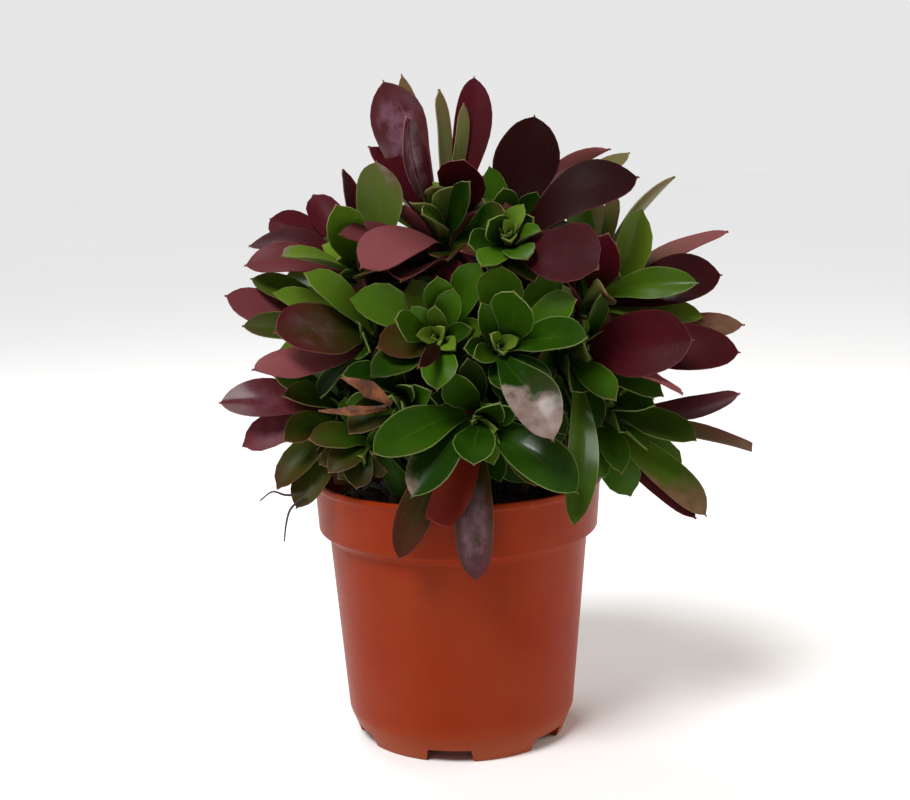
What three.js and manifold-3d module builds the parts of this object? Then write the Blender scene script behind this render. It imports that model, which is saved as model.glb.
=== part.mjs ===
// A potted aeonium: a bushy succulent with many leafy heads on branching woody stems, in a
// 12 cm nursery pot. Millimetres, +Z up, origin at the centre of the pot's base, -Y is the front.
// Run it with the npm packages three and manifold-3d: it exports one THREE.Group of named meshes.

import * as THREE from "three";
import { mergeVertices } from "three/addons/utils/BufferGeometryUtils.js";
import Module from "manifold-3d";

const wasm = await Module();
wasm.setup();

// ---------------------------------------------------------------- driving dimensions
const POT_HEIGHT = 110;
const RIM_RADIUS = 60;
const BAND_HEIGHT = 25; // the upright rim band
const WALL_TOP_RADIUS = 53.7; // just under the band
const WALL_FOOT_RADIUS = 47.5;
const FOOT_RADIUS = 43; // the ring the pot stands on
const FOOT_HEIGHT = 11.2;
const WALL = 1.6;
const FLOOR_UNDERSIDE = 6;
const NOTCH_COUNT = 6;
const NOTCH_ANGLE = 27; // degrees round the foot ring
const NOTCH_HEIGHT = 5.6;
const FIRST_NOTCH = -97; // degrees from +X
const CENTRE_PAD_RADIUS = 13;
const DRAIN_RADIUS = 4.5;
const DRAIN_CIRCLE = 26;
const POT_SIDES = 36;

const SOIL_LEVEL = 99;
const SOIL_GAP = 0.4;
const STEM_CLEARANCE = 0.5;

const CORE_LENGTH = 25; // the leafy tip of each branch
const CORE_RADIUS = 4.6;
const CORE_SIDES = 6;
const BUTT_GAP = 0.35; // between a woody branch and the head it carries

const GOLDEN_TURN = 137.508; // degrees from one leaf to the next
const LEAF_CLEARANCE = 0.25; // kept by each leaf round itself, against the other heads
const LEAF_SHAPE = 2.35; // length over width of a leaf that the rule places
const LONG_LEAF = 46; // from this length a leaf has one section more
const CUP = 0.12; // rise of a leaf's edges over its middle, as a share of half its width
// Sections of a leaf: how far along, share of the full width, thickness.
const SHORT_SECTIONS = [
  [0.26, 0.42, 2.2],
  [0.64, 1, 2],
  [0.9, 0.72, 1.3],
];
const LONG_SECTIONS = [
  [0.2, 0.3, 2.6],
  [0.45, 0.68, 2.4],
  [0.72, 1, 2],
  [0.92, 0.7, 1.3],
];

// ---------------------------------------------------------------- the plant
// Woody stems: where each leaves the soil, where it forks, and how thick it is.
const STEMS = {
  stem_left: { foot: [-24, -8], fork: [-18, -6, 134], radius: 4.4 },
  stem_middle: { foot: [2, 8], fork: [3, 2, 138], radius: 5 },
  stem_right: { foot: [26, 8], fork: [22, 2, 136], radius: 4.4 },
  stem_low_right: { foot: [45, -9], fork: [45, -6, 112], radius: 3.6 },
};

// Heads: growing tip, the way it looks, the stem that carries it, how many leaves the rule
// places and how long they get. "grown" are the large outer leaves, placed one by one: the
// leaf's tip, the way its upper face looks, its width, how far its middle arches towards
// that face, how far behind the growing tip it leaves the core, and, where it isn't
// straight, how far it bows to the side.
const HEADS = [
  {
    name: "head_front", tip: [-6, -47, 173], axis: [-0.15, -0.93, 0.32], stem: "stem_middle",
    leaves: 21, reach: 34, turn: 40,
    grown: [
      { tip: [-21, -66, 183], face: [0.2, -0.9, 0.35], wide: 12, arch: -2, back: 5 },
      { tip: [-27, -66, 176], face: [0.2, -0.8, 0.5], wide: 16, arch: 3, back: 10 },
      { tip: [-7, -74, 158], face: [0, -0.7, 0.7], wide: 14, arch: 3, back: 7 },
      { tip: [-39, -50, 189], face: [0.3, -0.8, 0.5], wide: 18, arch: 2, back: 13 },
      { tip: [-6, -50, 196], face: [0, -0.9, 0.4], wide: 12, arch: -2, back: 8 },
      { tip: [9, -46, 201], face: [-0.2, -0.9, 0.4], wide: 14, arch: -2, back: 10 },
      { tip: [-31, -66, 165], face: [0.1, -0.7, 0.7], wide: 15, arch: 3, back: 11 },
    ],
  },
  {
    name: "head_front_right", tip: [17, -50, 169], axis: [0.24, -0.88, 0.4], stem: "stem_middle",
    leaves: 20, reach: 34, turn: 15,
    grown: [
      { tip: [18, -56, 201], face: [0, -0.95, 0.3], wide: 18, arch: -3, back: 9 },
      { tip: [21, -72, 192], face: [-0.1, -0.95, 0.3], wide: 18, arch: -3, back: 6, bend: 3 },
      { tip: [43, -66, 189], face: [-0.2, -0.9, 0.4], wide: 16, arch: -2, back: 9 },
      { tip: [47, -72, 174], face: [0, -0.75, 0.65], wide: 15, arch: 2, back: 8 },
      { tip: [40, -50, 198], face: [-0.1, -0.95, 0.3], wide: 14, arch: -2, back: 12 },
      { tip: [34, -88, 143], face: [-0.1, -0.78, 0.6], wide: 19, arch: 5, back: 5 },
      { tip: [36, -70, 138], face: [0.5, -0.8, 0.3], wide: 10, arch: 3, back: 10 },
    ],
  },
  {
    name: "head_front_left", tip: [-22, -52, 149], axis: [-0.4, -0.88, -0.15], stem: "stem_left",
    leaves: 20, reach: 34, turn: 75,
    grown: [
      { tip: [-41, -66, 163], face: [-0.1, -0.8, 0.6], wide: 13, arch: 3, back: 7 },
      { tip: [-40, -64, 141], face: [-0.1, -0.8, 0.6], wide: 15, arch: 4, back: 7 },
    ],
  },
  {
    name: "head_low_front", tip: [9, -54, 142], axis: [0, -0.98, -0.2], stem: "stem_middle",
    leaves: 16, reach: 40, turn: 10,
    grown: [
      { tip: [6, -66, 82], face: [0.05, -1, 0.1], wide: 15, arch: 8, back: 6 },
      { tip: [-8, -72, 106], face: [0.15, -1, 0.1], wide: 14, arch: 4, back: 5 },
      { tip: [-23, -66, 91], face: [-0.4, -0.9, 0.1], wide: 15, arch: 5, back: 11 },
      { tip: [-17, -82, 120], face: [-0.1, -0.8, 0.6], wide: 17, arch: 5, back: 3 },
      { tip: [44, -76, 119], face: [0.1, -0.9, 0.35], wide: 19, arch: 5, back: 10 },
      { tip: [34, -62, 118], face: [0.1, -0.9, 0.3], wide: 14, arch: 5, back: 14 },
      { tip: [6, -80, 131], face: [0, -0.8, 0.5], wide: 16, arch: 2, back: 1 },
      { tip: [-31, -84, 136], face: [0.1, -0.75, 0.65], wide: 18, arch: 4, back: 7 },
    ],
  },
  {
    name: "head_top", dark: true, tip: [24, -12, 207], axis: [0.15, -0.4, 0.9], stem: "stem_middle",
    leaves: 22, reach: 46, turn: 95,
    grown: [
      { tip: [34, -2, 256], face: [0.1, -1, 0.15], wide: 25, arch: -3, back: 8 },
      { tip: [73, -24, 231], face: [0, -0.7, 0.72], wide: 22, arch: 13, back: 10 },
      { tip: [63, 16, 243], face: [-0.3, 0.5, 0.8], wide: 18, arch: 10, back: 12 },
      { tip: [75, 30, 242], face: [0, -0.6, 0.8], wide: 12, arch: 4, back: 14 },
      { tip: [15, -6, 236], face: [0, -1, 0.15], wide: 10, arch: 0, back: 6 },
      { tip: [20, -26, 228], face: [0, -1, 0.2], wide: 11, arch: -2, back: 5 },
      { tip: [33, -20, 226], face: [0, -1, 0.2], wide: 11, arch: -2, back: 6 },
      { tip: [30, -36, 217], face: [0, -0.9, 0.4], wide: 9, arch: -1, back: 5 },
    ],
  },
  {
    name: "head_crown", dark: true, tip: [-4, 0, 213], axis: [-0.1, -0.15, 0.98], stem: "stem_middle",
    leaves: 16, reach: 50, turn: 150,
    grown: [
      { tip: [-27, 10, 271], face: [0.2, -0.97, 0.1], wide: 22, arch: -3, back: 6 },
      { tip: [-17, -16, 256], face: [0.7, -0.7, 0.1], wide: 15, arch: -3, back: 3, bend: -3 },
      { tip: [10, 14, 272], face: [0.1, -1, 0.1], wide: 15, arch: 2, back: 8, bend: 4 },
      { tip: [5, -18, 239], face: [0, -1, 0.12], wide: 20, arch: -3, back: 3, bend: 2 },
      { tip: [-34, -50, 203], face: [0.12, -0.55, 0.85], wide: 20, arch: 8, back: 10 },
      { tip: [-4, 20, 267], face: [0.9, -0.45, 0], wide: 12, arch: 2, back: 9 },
      { tip: [-33, 4, 244], face: [0.5, -0.6, 0.6], wide: 16, arch: 2, back: 12 },
      { tip: [-18, 26, 275], face: [0.5, -0.8, 0.1], wide: 11, arch: -3, back: 13 },
      { tip: [2, 12, 261], face: [0.6, -0.8, 0], wide: 7, arch: 1, back: 5 },
      { tip: [18, -40, 219], face: [-0.2, -0.9, 0.35], wide: 15, arch: -2, back: 10 },
      { tip: [-43, -36, 213], face: [0.1, -0.7, 0.7], wide: 13, arch: 3, back: 14 },
    ],
  },
  {
    name: "head_upper_left", dark: true, tip: [-41, -15, 199], axis: [-0.6, -0.35, 0.72], stem: "stem_left",
    leaves: 18, reach: 44, turn: 200,
    grown: [
      { tip: [-30, -22, 239], face: [-0.1, -1, 0.12], wide: 19, arch: -3, back: 8, bend: 4 },
      { tip: [-82, -6, 207], face: [-0.2, -0.5, 0.85], wide: 18, arch: 7, back: 8 },
      { tip: [-80, -24, 200], face: [-0.2, -0.7, 0.7], wide: 15, arch: 6, back: 12 },
      { tip: [-57, 8, 226], face: [-0.1, -0.85, 0.5], wide: 14, arch: 2, back: 9 },
      { tip: [-43, 0, 236], face: [0.8, -0.6, 0.2], wide: 13, arch: 2, back: 6 },
      { tip: [-44, -36, 223], face: [0.1, -0.9, 0.35], wide: 16, arch: -2, back: 5 },
      { tip: [-65, -44, 205], face: [0, -0.55, 0.85], wide: 14, arch: 3, back: 8 },
      { tip: [-50, -4, 231], face: [0.5, -0.8, 0.3], wide: 7, arch: 2, back: 13 },
      { tip: [-75, 8, 216], face: [0, -0.8, 0.6], wide: 15, arch: 3, back: 10 },
    ],
  },
  {
    name: "head_left", tip: [-38, -34, 172], axis: [-0.78, -0.58, 0.22], stem: "stem_left",
    leaves: 18, reach: 42, turn: 20,
    grown: [
      { tip: [-66, -62, 179], face: [-0.1, -0.88, 0.45], wide: 24, arch: 5, back: 8 },
      { tip: [-75, -62, 166], face: [0.05, -0.75, 0.65], wide: 15, arch: 3, back: 10, bend: -3 },
      { tip: [-89, -30, 190], face: [0, -0.72, 0.7], wide: 18, arch: -4, back: 12 },
      { tip: [-54, -46, 196], face: [0, -0.7, 0.7], wide: 13, arch: 2, back: 8 },
      { tip: [-70, -36, 190], face: [0, -0.7, 0.7], wide: 11, arch: 2, back: 10 },
      { tip: [-80, -20, 194], face: [0, -0.7, 0.7], wide: 12, arch: 2, back: 9 },
      { tip: [-67, -50, 170], face: [0, -0.7, 0.7], wide: 10, arch: 1, back: 12 },
      { tip: [-82, -30, 173], face: [0, -0.7, 0.7], wide: 12, arch: 2, back: 12 },
    ],
  },
  {
    name: "head_upper_front", tip: [21, -40, 210], axis: [-0.05, -0.7, 0.71], stem: "stem_middle",
    leaves: 16, reach: 32, turn: 140,
    grown: [
      { tip: [53, -66, 200], face: [0.05, -0.86, 0.5], wide: 27, arch: 2, back: 1 },
      { tip: [15, -52, 217], face: [0, -0.9, 0.4], wide: 12, arch: -2, back: 6 },
      { tip: [33, -50, 208], face: [0, -0.85, 0.5], wide: 12, arch: -1, back: 6 },
      { tip: [38, -52, 198], face: [0, -0.8, 0.6], wide: 13, arch: 2, back: 8 },
      { tip: [6, -50, 209], face: [0, -0.85, 0.5], wide: 13, arch: 1, back: 8 },
    ],
  },
  {
    name: "head_low_middle", tip: [-37, -42, 126], axis: [-0.3, -0.9, -0.3], stem: "stem_left",
    leaves: 15, reach: 32, turn: 300,
    grown: [
      { tip: [-49, -54, 124], face: [-0.2, -0.85, 0.5], wide: 12, arch: 4, back: 8 },
      { tip: [-40, -58, 119], face: [-0.1, -0.9, 0.4], wide: 12, arch: 4, back: 6 },
      { tip: [-54, -46, 132], face: [-0.2, -0.8, 0.6], wide: 12, arch: 4, back: 9 },
    ],
  },
  {
    name: "head_low_left", tip: [-50, -22, 138], axis: [-0.78, -0.6, -0.1], stem: "stem_left",
    leaves: 20, reach: 38, turn: 60,
    grown: [
      { tip: [-94, -26, 146], face: [-0.1, -0.75, 0.65], wide: 18, arch: 6, back: 9 },
      { tip: [-85, -30, 129], face: [-0.1, -0.8, 0.5], wide: 14, arch: 4, back: 7 },
      { tip: [-71, -40, 114], face: [-0.4, -0.8, 0.4], wide: 14, arch: 4, back: 10 },
      { tip: [-66, -48, 107], face: [-0.3, -0.9, 0.2], wide: 13, arch: 4, back: 12 },
      { tip: [-64, -50, 154], face: [0, -0.75, 0.65], wide: 12, arch: 3, back: 6 },
      { tip: [-66, -46, 135], face: [-0.1, -0.8, 0.5], wide: 12, arch: 3, back: 6 },
      { tip: [-71, -34, 158], face: [0, -0.75, 0.65], wide: 13, arch: 3, back: 9 },
    ],
  },
  {
    name: "head_upper_right", dark: true, tip: [60, -8, 186], axis: [0.72, -0.25, 0.65], stem: "stem_right",
    leaves: 18, reach: 42, turn: 30,
    grown: [
      { tip: [74, -20, 218], face: [0, -0.95, 0.3], wide: 15, arch: -3, back: 7, bend: 5 },
      { tip: [111, -2, 209], face: [0.2, -0.3, 0.95], wide: 14, arch: 4, back: 9 },
      { tip: [106, -18, 193], face: [0.1, -0.86, 0.45], wide: 20, arch: 5, back: 10 },
      { tip: [94, -34, 191], face: [0, -0.9, 0.45], wide: 13, arch: 4, back: 7 },
      { tip: [99, -20, 176], face: [0, -0.8, 0.6], wide: 13, arch: 3, back: 12 },
      { tip: [59, -36, 209], face: [-0.1, -0.95, 0.25], wide: 16, arch: 2, back: 5 },
      { tip: [89, 6, 231], face: [0.3, 0.3, 0.9], wide: 13, arch: 4, back: 12 },
      { tip: [58, -12, 226], face: [0.2, -0.95, 0.2], wide: 8, arch: -2, back: 6 },
      { tip: [66, -6, 224], face: [-0.2, -0.95, 0.2], wide: 8, arch: -2, back: 8 },
    ],
  },
  {
    name: "head_right", dark: true, tip: [50, -32, 164], axis: [0.72, -0.66, 0.2], stem: "stem_right",
    leaves: 16, reach: 42, turn: 110,
    grown: [
      { tip: [89, -56, 172], face: [0.1, -0.9, 0.42], wide: 26, arch: 4, back: 8 },
      { tip: [110, -40, 165], face: [0.1, -0.85, 0.5], wide: 20, arch: 3, back: 11 },
      { tip: [117, -18, 175], face: [0.2, -0.7, 0.7], wide: 12, arch: 3, back: 12 },
      { tip: [86, -58, 156], face: [0, 0.25, 1], wide: 12, arch: 3, back: 10 },
      { tip: [96, -24, 173], face: [0, -0.8, 0.6], wide: 12, arch: 3, back: 9 },
      { tip: [43, -68, 103], face: [0.25, -0.95, 0.2], wide: 12, arch: 6, back: 5 },
      { tip: [81, -44, 153], face: [0, -0.8, 0.6], wide: 13, arch: 3, back: 12 },
    ],
  },
  {
    name: "head_low_right", tip: [64, -15, 140], axis: [0.72, -0.52, 0.4], stem: "stem_low_right",
    leaves: 18, reach: 38, turn: 250,
    grown: [
      { tip: [115, -14, 143], face: [0.1, -0.5, 0.85], wide: 13, arch: -5, back: 3 },
      { tip: [122, -20, 124], face: [0, -0.3, 0.95], wide: 12, arch: 1, back: 12 },
      { tip: [99, -32, 97], face: [0.2, -0.85, 0.5], wide: 16, arch: 2, back: 10 },
      { tip: [94, -36, 129], face: [0, -0.8, 0.6], wide: 15, arch: 3, back: 6 },
      { tip: [93, -8, 109], face: [0.1, -0.9, 0.4], wide: 15, arch: 3, back: 10 },
      { tip: [70, -18, 103], face: [0, -1, 0.1], wide: 16, arch: 2, back: 12 },
      { tip: [96, -24, 94], face: [0.1, -0.4, 0.9], wide: 11, arch: -3, back: 13 },
      { tip: [76, -38, 145], face: [0, -0.8, 0.6], wide: 12, arch: 2, back: 5 },
    ],
  },
  {
    name: "head_back_top", dark: true, tip: [6, 32, 206], axis: [0.05, 0.55, 0.83], stem: "stem_middle",
    leaves: 16, reach: 57, turn: 20, grown: [],
  },
  {
    name: "head_back_left", tip: [-42, 24, 178], axis: [-0.68, 0.52, 0.5], stem: "stem_left",
    leaves: 17, reach: 55, turn: 230, grown: [],
  },
  {
    name: "head_back_right", tip: [48, 30, 178], axis: [0.62, 0.6, 0.5], stem: "stem_right",
    leaves: 18, reach: 55, turn: 60, grown: [],
  },
  {
    name: "head_back_low", tip: [2, 50, 152], axis: [0, 0.97, 0.22], stem: "stem_middle",
    leaves: 16, reach: 52, turn: 170, grown: [],
  },
  {
    name: "head_low_back_left", tip: [-46, 24, 136], axis: [-0.75, 0.65, 0.05], stem: "stem_left",
    leaves: 14, reach: 48, turn: 340, grown: [],
  },
  {
    name: "head_low_back_right", tip: [50, 30, 138], axis: [0.7, 0.7, 0.1], stem: "stem_right",
    leaves: 14, reach: 48, turn: 110, grown: [],
  },
];

// ---------------------------------------------------------------- small helpers
const vec = (p) => new THREE.Vector3(...p);
const radians = THREE.MathUtils.degToRad;

// A generator of numbers from 0 to 1 that gives the same row for the same seed.
function seeded(seed) {
  let state = seed;
  return () => {
    state = (state * 48271) % 2147483647;
    return state / 2147483647;
  };
}

// A geometry as a manifold solid: shared vertices merged and collapsed faces dropped.
function solidOf(geometry) {
  const bare = geometry.index ? geometry.toNonIndexed() : geometry.clone();
  bare.deleteAttribute("normal");
  bare.deleteAttribute("uv");
  const merged = mergeVertices(bare, 1e-4);
  const faces = [];
  for (let i = 0; i < merged.index.count; i += 3) {
    const [a, b, c] = [0, 1, 2].map((k) => merged.index.getX(i + k));
    if (a !== b && b !== c && c !== a) faces.push(a, b, c);
  }
  return new wasm.Manifold(
    new wasm.Mesh({
      numProp: 3,
      vertProperties: new Float32Array(merged.attributes.position.array),
      triVerts: new Uint32Array(faces),
    }),
  );
}

// A manifold solid as a named mesh.
function meshOf(name, solid, material) {
  const { vertProperties, triVerts } = solid.getMesh();
  const geometry = new THREE.BufferGeometry();
  geometry.setAttribute("position", new THREE.BufferAttribute(vertProperties, 3));
  geometry.setIndex(new THREE.BufferAttribute(triVerts, 1));
  const flat = geometry.toNonIndexed();
  flat.computeVertexNormals();
  const mesh = new THREE.Mesh(flat, material);
  mesh.name = name;
  return mesh;
}

// A profile of [radius, height] points turned about +Z.
function turned(profile, sides) {
  const points = profile.map(([radius, height]) => new THREE.Vector2(radius, height));
  return solidOf(new THREE.LatheGeometry(points, sides).rotateX(Math.PI / 2));
}

const fused = (solids) => solids.reduce((all, one) => all.add(one));

// ---------------------------------------------------------------- pot
// The outside of the pot from the foot up to the rim.
const potOutside = () => [
  [FOOT_RADIUS, 0],
  [WALL_FOOT_RADIUS, FOOT_HEIGHT],
  [WALL_TOP_RADIUS, POT_HEIGHT - BAND_HEIGHT],
  [RIM_RADIUS - 2, POT_HEIGHT - BAND_HEIGHT + 3.5],
  [RIM_RADIUS - 0.8, POT_HEIGHT - 3],
  [RIM_RADIUS, POT_HEIGHT - 2],
  [RIM_RADIUS - 0.4, POT_HEIGHT],
];

const potInside = () => [
  [RIM_RADIUS - 2, POT_HEIGHT],
  [RIM_RADIUS - 3.6, POT_HEIGHT - BAND_HEIGHT + 5],
  [WALL_TOP_RADIUS - WALL, POT_HEIGHT - BAND_HEIGHT + 2],
  [WALL_FOOT_RADIUS - WALL, FOOT_HEIGHT],
  [WALL_FOOT_RADIUS - WALL - 2, FLOOR_UNDERSIDE + 2],
];

const potUnderside = () => [
  [0, 0],
  [CENTRE_PAD_RADIUS, 0],
  [CENTRE_PAD_RADIUS + 1, FLOOR_UNDERSIDE],
  [FOOT_RADIUS - 3, FLOOR_UNDERSIDE],
  [FOOT_RADIUS - 2.6, 0],
];

function footNotch(middle) {
  const from = radians(middle - NOTCH_ANGLE / 2);
  const to = radians(middle + NOTCH_ANGLE / 2);
  const shape = new THREE.Shape();
  const inner = FOOT_RADIUS - 4;
  const outer = RIM_RADIUS;
  shape.moveTo(inner * Math.cos(from), inner * Math.sin(from));
  shape.lineTo(outer * Math.cos(from), outer * Math.sin(from));
  shape.lineTo(outer * Math.cos(to), outer * Math.sin(to));
  shape.lineTo(inner * Math.cos(to), inner * Math.sin(to));
  const depth = NOTCH_HEIGHT + 1;
  return solidOf(
    new THREE.ExtrudeGeometry(shape, { depth, bevelEnabled: false }).translate(0, 0, -1),
  );
}

function drainHole(angle) {
  const hole = new THREE.CylinderGeometry(DRAIN_RADIUS, DRAIN_RADIUS, 6, 10).rotateX(Math.PI / 2);
  hole.translate(DRAIN_CIRCLE * Math.cos(angle), DRAIN_CIRCLE * Math.sin(angle), 7);
  return solidOf(hole);
}

function pot() {
  const inside = [...potInside(), [0, FLOOR_UNDERSIDE + 2]];
  let solid = turned([...potUnderside(), ...potOutside(), ...inside], POT_SIDES);
  for (let i = 0; i < NOTCH_COUNT; i++) {
    const angle = FIRST_NOTCH + (i * 360) / NOTCH_COUNT;
    solid = solid.subtract(footNotch(angle));
    solid = solid.subtract(drainHole(radians(angle + 180 / NOTCH_COUNT)));
  }
  return solid;
}

// ---------------------------------------------------------------- soil and woody stems
function soil() {
  const wallGap = ([radius, height]) => [radius - SOIL_GAP, height];
  const side = potInside().slice(2).reverse().map(wallGap);
  side[0][1] += SOIL_GAP;
  const profile = [
    [0, FLOOR_UNDERSIDE + 2 + SOIL_GAP],
    ...side,
    [RIM_RADIUS - 4.4, SOIL_LEVEL - 3],
    [RIM_RADIUS - 8, SOIL_LEVEL - 1.5],
    [30, SOIL_LEVEL + 0.5],
    [14, SOIL_LEVEL],
    [0, SOIL_LEVEL + 1],
  ];
  let solid = turned(profile, 24);
  for (const { foot, radius } of Object.values(STEMS)) {
    const bore = radius + STEM_CLEARANCE;
    const hole = new THREE.CylinderGeometry(bore, bore, 60, 12).rotateX(Math.PI / 2);
    solid = solid.subtract(solidOf(hole.translate(foot[0], foot[1], SOIL_LEVEL + 10)));
  }
  return solid;
}

// A round stick of even thickness along a curve.
function stick(curve, radius, sides, steps) {
  const section = new THREE.Shape();
  for (let i = 0; i < sides; i++) {
    const angle = (i * 2 * Math.PI) / sides;
    section[i ? "lineTo" : "moveTo"](radius * Math.cos(angle), radius * Math.sin(angle));
  }
  return solidOf(
    new THREE.ExtrudeGeometry(section, { steps, bevelEnabled: false, extrudePath: curve }),
  );
}

// The way a branch takes from its stem's fork to the back end of its head.
function branchCurve(head) {
  const fork = vec(STEMS[head.stem].fork);
  const axis = vec(head.axis).normalize();
  const end = vec(head.tip).addScaledVector(axis, -CORE_LENGTH - BUTT_GAP);
  const reach = fork.distanceTo(end) * 0.45;
  return new THREE.CubicBezierCurve3(
    fork.clone().add(new THREE.Vector3(0, 0, -2)),
    fork.clone().add(new THREE.Vector3(0, 0, reach)),
    end.clone().addScaledVector(axis, -reach),
    end,
  );
}

function trunkCurve({ foot, fork }) {
  const [x, y] = foot;
  return new THREE.CatmullRomCurve3([
    new THREE.Vector3(x, y, SOIL_LEVEL - 18),
    new THREE.Vector3(x, y, SOIL_LEVEL - 8),
    new THREE.Vector3(x, y, SOIL_LEVEL + 2),
    vec(fork),
  ]);
}

function stem(name) {
  const { radius } = STEMS[name];
  const trunk = stick(trunkCurve(STEMS[name]), radius, 6, 4);
  const branches = HEADS.filter((head) => head.stem === name);
  return fused([trunk, ...branches.map((head) => stick(branchCurve(head), radius * 0.72, 5, 3))]);
}

// ---------------------------------------------------------------- leaves
// A blade: its root and tip, its width, the frame in which it bends, and how far it arches
// and bows sideways.
function blade(root, tip, face, wide, arch, bend = 0) {
  const chord = tip.clone().sub(root);
  const along = chord.clone().normalize();
  const up = face.clone().addScaledVector(along, -face.dot(along)).normalize();
  const side = along.clone().cross(up);
  return { root, chord, up, side, wide, arch, bend };
}

// A point of a blade: s runs from root to tip, u from edge to edge, lift is off its middle.
function bladePoint({ root, chord, up, side, wide, arch, bend }, s, u, lift) {
  const bow = 4 * arch * s * (1 - s) + CUP * wide * 0.5 * u * u;
  const sideways = 4 * bend * s * (1 - s) + u * wide * 0.5;
  return root.clone().addScaledVector(chord, s).addScaledVector(up, bow + lift)
    .addScaledVector(side, sideways);
}

// The blade's closed surface as triangles: flat above, keeled below, and its ends are points.
function bladeFaces(leaf, clearance) {
  const sections = leaf.chord.length() < LONG_LEAF ? SHORT_SECTIONS : LONG_SECTIONS;
  const rings = sections.map(([s, share, thick]) => {
    const half = share + (2 * clearance) / leaf.wide;
    const deep = thick + clearance;
    return [
      bladePoint(leaf, s, half, clearance),
      bladePoint(leaf, s, 0, -deep),
      bladePoint(leaf, s, -half, clearance),
    ];
  });
  const root = bladePoint(leaf, 0, 0, 0);
  const tip = bladePoint(leaf, 1 + clearance / leaf.chord.length(), 0, 0);
  const faces = [];
  const sides = [0, 1, 2].map((k) => [k, (k + 1) % 3]);
  for (const [k, next] of sides) faces.push([root, rings[0][next], rings[0][k]]);
  for (let r = 0; r + 1 < rings.length; r++) {
    for (const [k, next] of sides) {
      faces.push([rings[r][k], rings[r][next], rings[r + 1][next]]);
      faces.push([rings[r][k], rings[r + 1][next], rings[r + 1][k]]);
    }
  }
  for (const [k, next] of sides) faces.push([rings.at(-1)[k], rings.at(-1)[next], tip]);
  return faces;
}

function grownLeaf(head, { tip, face, wide, arch, back, bend }, shift) {
  const root = vec(head.tip).addScaledVector(vec(head.axis).normalize(), -back);
  const end = vec(tip).addScaledVector(vec(face).normalize(), shift);
  return blade(root, end, vec(face), wide, arch, bend);
}

// Leaf number i of a head by the golden angle: young ones are short and stand close round
// the growing tip, old ones are long and lean out past square.
function spiralLeaf(head, i, random, change) {
  const age = (i + 0.5) / head.leaves;
  const axis = vec(head.axis).normalize();
  const across = new THREE.Vector3(0, 0, 1).cross(axis).normalize();
  const over = axis.clone().cross(across);
  const turn = radians(head.turn + i * GOLDEN_TURN + 10 * (random[0] - 0.5) + change.turn);
  const lean = radians(14 + 76 * age ** 0.8 + 10 * (random[1] - 0.5) + change.lean);
  const length = head.reach * (0.32 + 0.68 * age ** 0.6) * (0.9 + 0.2 * random[2]) * change.length;
  const out = across.clone().multiplyScalar(Math.cos(turn)).addScaledVector(over, Math.sin(turn));
  const root = vec(head.tip).addScaledVector(axis, -3 - (CORE_LENGTH - 8) * age);
  const along = axis.clone().multiplyScalar(Math.cos(lean)).addScaledVector(out, Math.sin(lean));
  const face = axis.clone().multiplyScalar(Math.sin(lean)).addScaledVector(out, -Math.cos(lean));
  const wide = Math.max(5, length / LEAF_SHAPE);
  return blade(root, root.clone().addScaledVector(along, length), face, wide, length * 0.06);
}

// ---------------------------------------------------------------- keeping leaves clear
// Whether the segment from a to b goes through a triangle.
function pierces(a, b, [p, q, r]) {
  const [e1, e2, d] = [q.clone().sub(p), r.clone().sub(p), b.clone().sub(a)];
  const h = d.clone().cross(e2);
  const det = e1.dot(h);
  if (Math.abs(det) < 1e-9) return false;
  const s = a.clone().sub(p);
  const u = s.dot(h) / det;
  if (u < 0 || u > 1) return false;
  const k = s.cross(e1);
  const v = d.dot(k) / det;
  const t = e2.dot(k) / det;
  return v >= 0 && u + v <= 1 && t >= 0 && t <= 1;
}

function crosses(facesA, facesB) {
  const cut = (from, into) =>
    from.some(([p, q, r]) =>
      into.some((face) => pierces(p, q, face) || pierces(q, r, face) || pierces(r, p, face)),
    );
  return cut(facesA, facesB) || cut(facesB, facesA);
}

// Balls along every stem, branch and core, which leaves of other heads go round.
function ballsOf() {
  const balls = [];
  const along = (curve, radius, count, head) => {
    for (const centre of curve.getPoints(count)) balls.push({ centre, radius, head });
  };
  for (const one of Object.values(STEMS)) along(trunkCurve(one), one.radius, 14, null);
  for (const head of HEADS) {
    along(branchCurve(head), STEMS[head.stem].radius * 0.72, 14, null);
    const back = vec(head.tip).addScaledVector(vec(head.axis).normalize(), -CORE_LENGTH);
    along(new THREE.LineCurve3(back, vec(head.tip)), CORE_RADIUS, 8, head);
  }
  return balls;
}

// Points spread over a blade, edge to edge.
function spread(leaf) {
  const points = [];
  for (let s = 0.12; s < 1.01; s += 0.08) {
    const share = s < 0.3 ? 0.35 : 0.9;
    for (const u of [-share, 0, share]) points.push(bladePoint(leaf, s, u, 0));
  }
  return points;
}

// Whether a point is in or against the pot or the soil.
function inPot({ x, y, z }) {
  const radius = Math.hypot(x, y);
  const inMouth = radius < RIM_RADIUS - 6 && z > SOIL_LEVEL + 2.5;
  return z < POT_HEIGHT + 1.6 && radius < RIM_RADIUS + 1.6 && !inMouth;
}

// What is tried, in turn, for a leaf that the rule places: turned, leant and shortened.
const RULE_CHANGES = [
  { turn: 0, lean: 0, length: 1 },
  { turn: 10, lean: -4, length: 1 },
  { turn: -10, lean: -4, length: 1 },
  { turn: 0, lean: -14, length: 0.95 },
  { turn: 0, lean: 10, length: 0.95 },
  { turn: 14, lean: -16, length: 0.85 },
  { turn: -14, lean: -16, length: 0.85 },
  { turn: 0, lean: -26, length: 0.8 },
  { turn: 20, lean: -34, length: 0.8 },
  { turn: -20, lean: -40, length: 0.8 },
  { turn: 0, lean: -8, length: 0.6 },
];
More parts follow.
